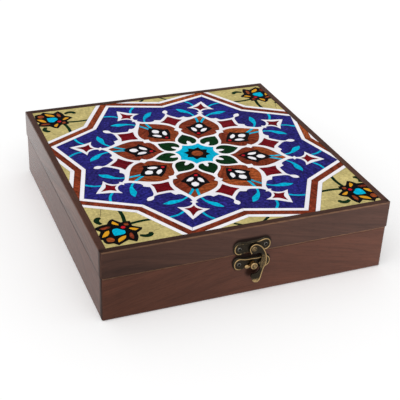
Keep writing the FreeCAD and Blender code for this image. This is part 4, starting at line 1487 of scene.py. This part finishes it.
def stamped(name, loop, steps, crown, bend=plain, rub=unrubbed):
    """A closed plate in the front plane. Steps are rings of inset and reach, from the back to the front."""
    loop = anticlockwise(loop)
    count = len(loop)
    points, faces = [], []
    for distance, reach in steps:
        points += [Vector((x, reach, z)) for x, z in inset(loop, distance)]
    last = count * (len(steps) - 1)
    for first in range(0, last, count):
        for index in range(count):
            after = (index + 1) % count
            faces.append((first + index, first + after, first + count + after, first + count + index))
    for distance, reach, first, turn in ((*steps[0], 0, -1), (*steps[-1], last, 1)):
        edge = inset(loop, distance)
        flat, triangles, numbers = fill(edge)
        placed = {number: first + index for index, number in enumerate(numbers)}
        for number, (x, z) in enumerate(flat):
            if number not in placed:
                placed[number] = len(points)
                rise = min(1.0, min((Vector((x, z)) - corner).length for corner in edge) / CROWN_REACH)
                points.append(Vector((x, reach - (crown * rise if turn > 0 else 0.0), z)))
        faces += [[placed[number] for number in triangle[::turn]] for triangle in triangles]
    used = sorted({index for face in faces for index in face})
    order = {old: number for number, old in enumerate(used)}
    mesh = bpy.data.meshes.new(name)
    mesh.from_pydata([bend(points[old]) * MM for old in used], [],
                     [[order[index] for index in face] for face in faces])
    mesh.materials.append(bronze)
    smooth_mesh(mesh)
    store_rub(mesh, rub)
    return link_piece(name, mesh)


print("plates swell over", CROWN_REACH, "mm from their edge")

# %% [markdown]
# ## Beads along the edges
# A raised bead of metal follows the edge of each plate and of the hook. It is the same round section
# swept along different paths, so Geometry Nodes sweep it. Only the crest of the bead, which looks to the
# front, is gold: partly rubbed wear and partly a painted highlight. A curve with a round bevel has the
# same shape, but it can't carry the rub along with it.

# %% Tree that sweeps a bead
CREST = (-0.1, 0.6)
TO_THE_FRONT = (0.0, -1.0, 0.0)
wire_tree, wire_in, wire_out = new_group("bead_on_path", "GeometryNodeTree", {
    "Path": "NodeSocketGeometry", "Radius": "NodeSocketFloat", "Sides": "NodeSocketInt",
    "Finish": "NodeSocketMaterial"}, {"Bead": "NodeSocketGeometry"})
path = add_node(wire_tree, "GeometryNodeMeshToCurve", {"Mesh": wire_in.outputs["Path"]})
section = add_node(wire_tree, "GeometryNodeCurvePrimitiveCircle", {
    "Resolution": wire_in.outputs["Sides"], "Radius": wire_in.outputs["Radius"]})
swept = add_node(wire_tree, "GeometryNodeCurveToMesh", {
    "Curve": path.outputs[0], "Profile Curve": section.outputs[0], "Fill Caps": True})
path_rub = add_node(wire_tree, "GeometryNodeInputNamedAttribute", {"Name": "rub"}, data_type="FLOAT")
normal = add_node(wire_tree, "GeometryNodeInputNormal").outputs[0]
outwards = add_node(wire_tree, "ShaderNodeVectorMath", {0: normal, 1: TO_THE_FRONT}, operation="DOT_PRODUCT")
# The crest that faces the front is gold: partly rubbed wear and partly a painted highlight.
crest_wear_and_highlight = times(wire_tree, ramp(wire_tree, outwards.outputs["Value"], *CREST), path_rub.outputs[0])
bead_wear_and_highlight = add_node(wire_tree, "GeometryNodeStoreNamedAttribute", {
    "Geometry": swept.outputs[0], "Name": "rub", "Value": crest_wear_and_highlight}, data_type="FLOAT", domain="POINT")
rounded = add_node(wire_tree, "GeometryNodeSetShadeSmooth", {"Geometry": bead_wear_and_highlight.outputs[0]})
real = add_node(wire_tree, "GeometryNodeRealizeInstances", {0: rounded.outputs[0]})
finished = add_node(wire_tree, "GeometryNodeSetMaterial", {
    "Geometry": real.outputs[0], "Material": wire_in.outputs["Finish"]})
wire_tree.links.new(finished.outputs[0], wire_out.inputs[0])
print("bead tree:", len(wire_tree.nodes), "nodes")

# %% Beads along paths
BEAD = 0.52
BEAD_SUNK = 0.12
BEAD_SIDES = 12


def bead(name, points, body, closed, rub):
    """A bead along points in millimetres. Its crest is gold, as rubbed wear and painted highlight, as far as
    a function of the place says.
    """
    edges = [(index, index + 1) for index in range(len(points) - 1)]
    if closed:
        edges.append((len(points) - 1, 0))
    mesh = bpy.data.meshes.new(name)
    mesh.from_pydata([point * MM for point in points], edges, [])
    store_rub(mesh, rub)
    piece = run_tree(link_piece(name, mesh), wire_tree, {
        "Radius": BEAD * MM, "Sides": BEAD_SIDES, "Finish": bronze})
    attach(piece, body)
    print(name, len(piece.data.polygons), "faces")


print("beads are", 2 * BEAD, "mm thick")

# %% [markdown]
# ## Latch plate and strike plate
# Both plates are stamped with one tool: a long shape with round ears, a thin flange round it and a bead
# on its edge. They were screwed on by eye, so each is turned and shifted a little. One outline serves
# both, so a change of the tool changes both.

# %% Shape of a plate
PLATE_HALF = 15.8
LATCH_STEP = 0.6
PLATE_RUNS = mirrored(
    [(PLATE_HALF, 0), (15.2, 2.6), (13.4, 4.6), (10.8, 5.3), (8.0, 4.8), (5.0, 4.3), (0, 4.4), (-5.0, 4.3),
     (-8.0, 4.8), (-10.8, 5.3), (-13.4, 4.6), (-15.2, 2.6), (-PLATE_HALF, 0)], step=LATCH_STEP)
FLANGE = 0.9
CROWN = 0.1
FLANGE_STEPS = ((-FLANGE, 0.0), (0.1 - FLANGE, 0.2))
FIELD_STEPS = ((-0.1, 0.15), (0.2, 0.0))
print("points round a plate:", len(PLATE_RUNS))


# %% One plate with its bead
class Plate(NamedTuple):
    """Where a plate ended up: its middle and its turn in the front plane, and its front face."""
    centre: Vector
    turn: Matrix
    front: float


def box_mm(name):
    """The two corners of a solid's box in millimetres."""
    low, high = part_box(name)
    return low / MM, high / MM


def front_middle(low, high):
    """The middle of a box, seen from the front."""
    return Vector(((low.x + high.x) / 2, (low.z + high.z) / 2))


def plate(name, proud, shift, tilt, body, bright):
    """One plate with its bead, turned a little in the front plane. Bright says where the bead is gold: rubbed
    wear and painted light.
    """
    low, high = box_mm(name)
    centre = front_middle(low, high) + Vector(shift)
    turn = Matrix.Rotation(math.radians(tilt), 2)
    loop = anticlockwise([centre + turn @ point for point in PLATE_RUNS])
    front = high.y - proud
    steps = [(distance, high.y - rise) for distance, rise in FLANGE_STEPS]
    steps += [(distance, front + drop) for distance, drop in FIELD_STEPS]
    piece = stamped(name, loop, steps, CROWN)
    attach(piece, body)
    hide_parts(name)
    edge = [Vector((x, front + BEAD_SUNK, z)) for x, z in inset(loop, BEAD)]
    bead(f"{name}_bead", edge, body, True, lambda place: bright(place.x - centre.x, place.z - centre.y))
    return Plate(centre, turn, front)


latch_middle = front_middle(*box_mm("latch_plate"))
print("middle of the latch plate's solid in mm:", [round(value, 1) for value in latch_middle])

# %% Latch plate and strike plate
LEAST_RUB = 0.25
EDGE_RUB = 0.6
LEFT_EAR_RUB = 0.55
LEFT_EAR = (8.0, 13.0)
BELOW_TOP = (-4.5, -2.0)
RIGHT_HALF = (3.0, 7.0)
UPPER_EDGE = (1.5, 3.5)
BOTH_ENDS = (9.0, 13.0)


def step_up(value, low, high):
    """0 below low, 1 above high and even between."""
    return min(max((value - low) / (high - low), 0.0), 1.0)


def lid_bright(x, z):
    """The lid plate's bead is gold round the lower left of the left ear and on the right half, and dark on
    the top left: partly rubbed wear, partly a painted highlight and painted shade.
    """
    left_ear = LEFT_EAR_RUB * step_up(-x, *LEFT_EAR) * step_up(-z, *BELOW_TOP)
    return LEAST_RUB + max(EDGE_RUB * step_up(x, *RIGHT_HALF), left_ear)


def tray_bright(x, z):
    """The strike plate's bead is gold along the top, where the hook slides, and at its ends: partly rubbed
    wear, partly a painted highlight.
    """
    return LEAST_RUB + EDGE_RUB * max(step_up(z, *UPPER_EDGE), step_up(abs(x), *BOTH_ENDS))


lid_plate = plate("latch_plate", proud=1.2, shift=(-0.6, -0.2), tilt=2.6, body="lid", bright=lid_bright)
base_plate = plate("strike_plate", proud=1.6, shift=(0.1, 0.3), tilt=-2.0, body="base", bright=tray_bright)

# %% [markdown]
# ## Hook
# The hook is one stamped strip: an eye round the rivet, an arm that swells to the right, a barb that
# points at the post and a thumb tail that curls away from the box. The bead runs along its outer edge
# only. It is cut flat and then bent, as a smith would do it, which keeps the outline easy to draw.

# %% Shape of the hook
hook_low, hook_high = box_mm("latch_hook")
rivet_low, rivet_high = box_mm("latch_rivet")
pivot = front_middle(rivet_low, rivet_high)
HOOK_OUTER = [(-1.8, -4.3), (-3.3, -0.9), (-2.4, 2.3), (1.0, 3.8), (5.2, 1.9), (8.6, -2.4), (10.8, -7.5),
              (11.4, -12.4), (11.0, -16.5), (9.4, -19.8), (8.5, -23.3), (7.2, -27.2), (5.9, -29.6),
              (3.8, -31.0)]
HOOK_TAIL = [(3.8, -31.0), (1.2, -30.6), (-0.4, -28.6), (-1.2, -26.2), (-0.2, -24.4)]
HOOK_INNER = [(-0.2, -24.4), (3.4, -24.2), (5.6, -22.4), (6.5, -19.4), (6.6, -17.4)]
HOOK_ARM = [(4.7, -14.9), (6.8, -12.6), (7.5, -9.2), (6.9, -6.2), (4.6, -4.7), (1.2, -5.0), (-1.8, -4.3)]
CURL_START = -23.0
CURL = 0.032
hook_loop = outline(HOOK_OUTER, HOOK_TAIL, HOOK_INNER, [HOOK_INNER[-1], HOOK_ARM[0]], HOOK_ARM,
                    step=LATCH_STEP)
hook_loop = [pivot + point for point in hook_loop]
print("points round the hook:", len(hook_loop))

# %% Hook with its bead
HOOK_CROWN = 0.2
HOOK_BEAD_SUNK = 0.25
HOOK_BEAD_RUB = 0.85
ARM_RUB = 0.36
TAIL_RUB = 0.6
ARM_START = (4.0, 8.0)
ARM_END = (-22.0, -19.0)
TAIL_END = (27.4, 29.4)


def curled(place):
    """The tail leaves the plane of the hook in a curve."""
    below = max(0.0, CURL_START - (place.z - pivot.y))
    return place - Vector((0, CURL * below * below, 0))


def thumb_rub(place):
    """The arm is rubbed a little and the end of the tail is rubbed bright."""
    below = pivot.y - place.z
    arm = ARM_RUB * step_up(below, *ARM_START) * step_up(-below, *ARM_END)
    return arm + TAIL_RUB * step_up(below, *TAIL_END)


hook_steps = [(0.2, hook_high.y), (0, hook_high.y - 0.2), (0, hook_low.y + 0.3), (0.3, hook_low.y)]
hook = stamped("latch_hook", hook_loop, hook_steps, HOOK_CROWN, curled, thumb_rub)
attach(hook, "hook")
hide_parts("latch_hook")
outer_edge = []
for x, z in outline(HOOK_OUTER, HOOK_TAIL[:3], step=LATCH_STEP):
    outer_edge.append(curled(Vector((pivot.x + x, hook_low.y + HOOK_BEAD_SUNK, pivot.y + z))))
bead("latch_hook_bead", outer_edge, "hook", False, lambda place: HOOK_BEAD_RUB)

# %% [markdown]
# ## Rivet, post and stud
# These are turned pieces: a flat rivet head that holds the hook, a mushroom-headed post that the barb
# catches, and a low stud beside it. Each is a profile spun about its axis, and the profile also says
# where it is rubbed. A Screw modifier could spin it as well, but without the wear of each ring.

# %% Spinning a profile
SPUN_SIDES = 40
SPUN_SOFT_EDGE = 50.0


def spun(name, centre, base, profile, body, stretch=(1.0, 1.0)):
    """Spin a profile of radius, reach and rub about an axis that points to the front."""
    points, faces, rubs, rings = [], [], [], []
    for radius, reach, rub in profile:
        count = SPUN_SIDES if radius else 1
        rings.append((len(points), count))
        for index in range(count):
            angle = 2 * math.pi * index / SPUN_SIDES
            points.append(Vector((centre.x + radius * math.cos(angle) * stretch[0], base - reach,
                                  centre.y + radius * math.sin(angle) * stretch[1])) * MM)
            rubs.append(rub)
    for (first, count), (after, after_count) in zip(rings, rings[1:]):
        for index in range(SPUN_SIDES):
            corners = [first + index % count, first + (index + 1) % count,
                       after + (index + 1) % after_count, after + index % after_count]
            faces.append(list(dict.fromkeys(corners)))
    mesh = bpy.data.meshes.new(name)
    mesh.from_pydata(points, [], faces)
    mesh.materials.append(bronze)
    smooth_mesh(mesh, SPUN_SOFT_EDGE)
    mesh.attributes.new("rub", "FLOAT", "POINT")
    mesh.attributes["rub"].data.foreach_set("value", rubs)
    piece = link_piece(name, mesh)
    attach(piece, body)
    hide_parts(name)
    print(name, len(faces), "faces")


print("turned pieces have", SPUN_SIDES, "sides")

# %% Turned pieces
post_low, post_high = box_mm("strike_post")
stud_low, stud_high = box_mm("strike_stud")
STUD_SHIFT = Vector((0.9, -2.2))
STUD_STRETCH = (1.2, 0.85)
spun("latch_rivet", pivot, rivet_high.y, [
    (0, 0, 0), (1.4, 0, 0), (1.4, 2.68, 0.2), (2.1, 2.68, 0.2), (2.3, 2.9, 0.4), (2.1, 3.3, 0.55),
    (1.6, 3.5, 0.35), (0.8, 3.65, 0.4), (0, 3.7, 0.45)], "lid")
# The post's bright rim and darker front face are partly rubbed wear and partly painted light and shade.
spun("strike_post", front_middle(post_low, post_high), post_high.y, [
    (0, 0, 0), (2.2, 0, 0.2), (2.2, 1.2, 0.3), (2.8, 1.35, 0.5), (3.0, 1.8, 0.8), (3.0, 5.3, 0.9),
    (2.8, 5.75, 1.0), (2.4, 5.95, 0.9), (2.0, 5.75, 0.4), (1.0, 5.7, 0.5), (0, 5.7, 0.6)],
    "base")
spun("strike_stud", front_middle(stud_low, stud_high) + STUD_SHIFT, stud_high.y, [
    (0, 0, 0), (2.0, 0, 0.3), (2.05, 1.4, 0.7), (1.7, 1.95, 0.9), (0.9, 2.15, 1.0), (0, 2.2, 1.0)],
    "base", STUD_STRETCH)

# %% [markdown]
# ## Screws
# Small cross-slotted screws hold the plates and the hinge leaves. One head is modelled: a dome in rings,
# whose inner rings drop to the floor of the slot where the cross runs. A boolean could cut the cross, but
# it leaves long thin faces that shade badly.

# %% One screw head
HEAD_RADII = [0.3, 0.6, 0.9, 1.1, 1.2, 1.45, 1.65, 1.75]
HEAD_SIDES = 48
HEAD_SOFT_EDGE = 30.0
SLOT_HALF = 0.3
SLOT_REACH = 1.15
SLOT_DEPTH = 0.5
SLOT_RUB = 0.1


def screw_mesh(name, height, rub):
    """A domed head with a cross slot, standing on z = 0."""
    points, faces = [Vector((0, 0, height - SLOT_DEPTH))], []
    for radius in HEAD_RADII:
        dome = height * math.sqrt(max(0.0, 1 - (radius / HEAD_RADII[-1]) ** 3))
        for index in range(HEAD_SIDES):
            angle = 2 * math.pi * index / HEAD_SIDES
            x, y = radius * math.cos(angle), radius * math.sin(angle)
            slotted = radius < SLOT_REACH and min(abs(x), abs(y)) < SLOT_HALF
            points.append(Vector((x, y, dome - (SLOT_DEPTH if slotted else 0.0))))
    for index in range(HEAD_SIDES):
        faces.append((0, 1 + index, 1 + (index + 1) % HEAD_SIDES))
    last = 1 + HEAD_SIDES * (len(HEAD_RADII) - 1)
    for first in range(1, last, HEAD_SIDES):
        outer = first + HEAD_SIDES
        for index in range(HEAD_SIDES):
            after = (index + 1) % HEAD_SIDES
            faces.append((first + index, outer + index, outer + after, first + after))
    faces.append([last + index for index in reversed(range(HEAD_SIDES))])
    mesh = bpy.data.meshes.new(name)
    mesh.from_pydata([point * MM for point in points], [], faces)
    smooth_mesh(mesh, HEAD_SOFT_EDGE)
    store_rub(mesh, lambda place: rub if place.xy.length > SLOT_REACH else SLOT_RUB)
    return mesh


print("screw heads are", 2 * HEAD_RADII[-1], "mm wide")

# %% [markdown]
# ## Setting the screws
# Geometry Nodes set the head on points, each turned by its own angle, because no two screws stop at the
# same place. The plates have domed screws, and the hinge leaves have flush ones that let the lid close.

# %% Tree that sets screws
screw_tree, screw_in, screw_out = new_group("screws_on_points", "GeometryNodeTree", {
    "Points": "NodeSocketGeometry", "Head": "NodeSocketObject", "Facing": "NodeSocketVector",
    "Seed": "NodeSocketInt", "Finish": "NodeSocketMaterial"}, {"Screws": "NodeSocketGeometry"})
head = add_node(screw_tree, "GeometryNodeObjectInfo", {
    "Object": screw_in.outputs["Head"], "As Instance": True})
facing = add_node(screw_tree, "FunctionNodeEulerToRotation", {0: screw_in.outputs["Facing"]})
heads = add_node(screw_tree, "GeometryNodeInstanceOnPoints", {
    "Points": screw_in.outputs["Points"], "Instance": head.outputs["Geometry"],
    "Rotation": facing.outputs[0]})
stop = add_node(screw_tree, "FunctionNodeRandomValue", {
    FLOAT_LOW: 0.0, FLOAT_HIGH: math.pi, RANDOM_SEED: screw_in.outputs["Seed"]}, data_type="FLOAT")
spin = add_node(screw_tree, "ShaderNodeCombineXYZ", {"Z": stop.outputs[RANDOM_FLOAT]})
driven = add_node(screw_tree, "GeometryNodeRotateInstances", {
    "Instances": heads.outputs[0], "Rotation": spin.outputs[0], "Local Space": True})
real = add_node(screw_tree, "GeometryNodeRealizeInstances", {0: driven.outputs[0]})
finished = add_node(screw_tree, "GeometryNodeSetMaterial", {
    "Geometry": real.outputs[0], "Material": screw_in.outputs["Finish"]})
screw_tree.links.new(finished.outputs[0], screw_out.inputs[0])
print("screw tree:", len(screw_tree.nodes), "nodes")

# %% Set the screws
TO_FRONT = (math.pi / 2, 0.0, 0.0)
UPWARDS = (0.0, 0.0, 0.0)
DOWNWARDS = (math.pi, 0.0, 0.0)
DOMED, DOMED_RUB = 0.5, 0.42
FLUSH, FLUSH_RUB = 0.06, 0.8
PLATE_SCREW = 11.4
HINGE_SCREW = 9.0
LEAF_MARGIN = 0.4


def screws(name, head_mesh, places, facing, body, finish, seed):
    """Set a head on every place, in millimetres."""
    pattern = link_piece("screw_pattern", head_mesh)
    mesh = bpy.data.meshes.new(name)
    mesh.from_pydata([place * MM for place in places], [], [])
    piece = run_tree(link_piece(name, mesh), screw_tree, {
        "Head": pattern, "Facing": facing, "Seed": seed, "Finish": finish})
    bpy.data.objects.remove(pattern)
    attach(piece, body)
    print(name, len(places), "screws")


domed = screw_mesh("domed_screw", DOMED, DOMED_RUB)
for name, held, body, seed in (("latch_plate_screws", lid_plate, "lid", 1),
                               ("strike_plate_screws", base_plate, "base", 2)):
    places = []
    for side in (-1, 1):
        x, z = held.centre + held.turn @ Vector((side * PLATE_SCREW, 0))
        places.append(Vector((x, held.front - 0.5 * CROWN, z)))
    screws(name, domed.copy(), places, TO_FRONT, body, steel, seed)
flush = screw_mesh("flush_screw", FLUSH, FLUSH_RUB)
for side in ("left", "right"):
    leaf_low, leaf_high = box_mm(f"hinge_{side}_base_leaf")
    middle = (leaf_low.x + leaf_high.x) / 2
    behind = leaf_low.y + HEAD_RADII[-1] + LEAF_MARGIN
    for owner, level, facing, seed in (("base", base_top, UPWARDS, 3),
                                       ("lid", lid_front_low.z, DOWNWARDS, 5)):
        places = [Vector((middle + step * HINGE_SCREW, behind, level / MM)) for step in (-1, 1)]
        screws(f"hinge_{side}_{owner}_screws", flush.copy(), places, facing, owner,
               brass, seed)
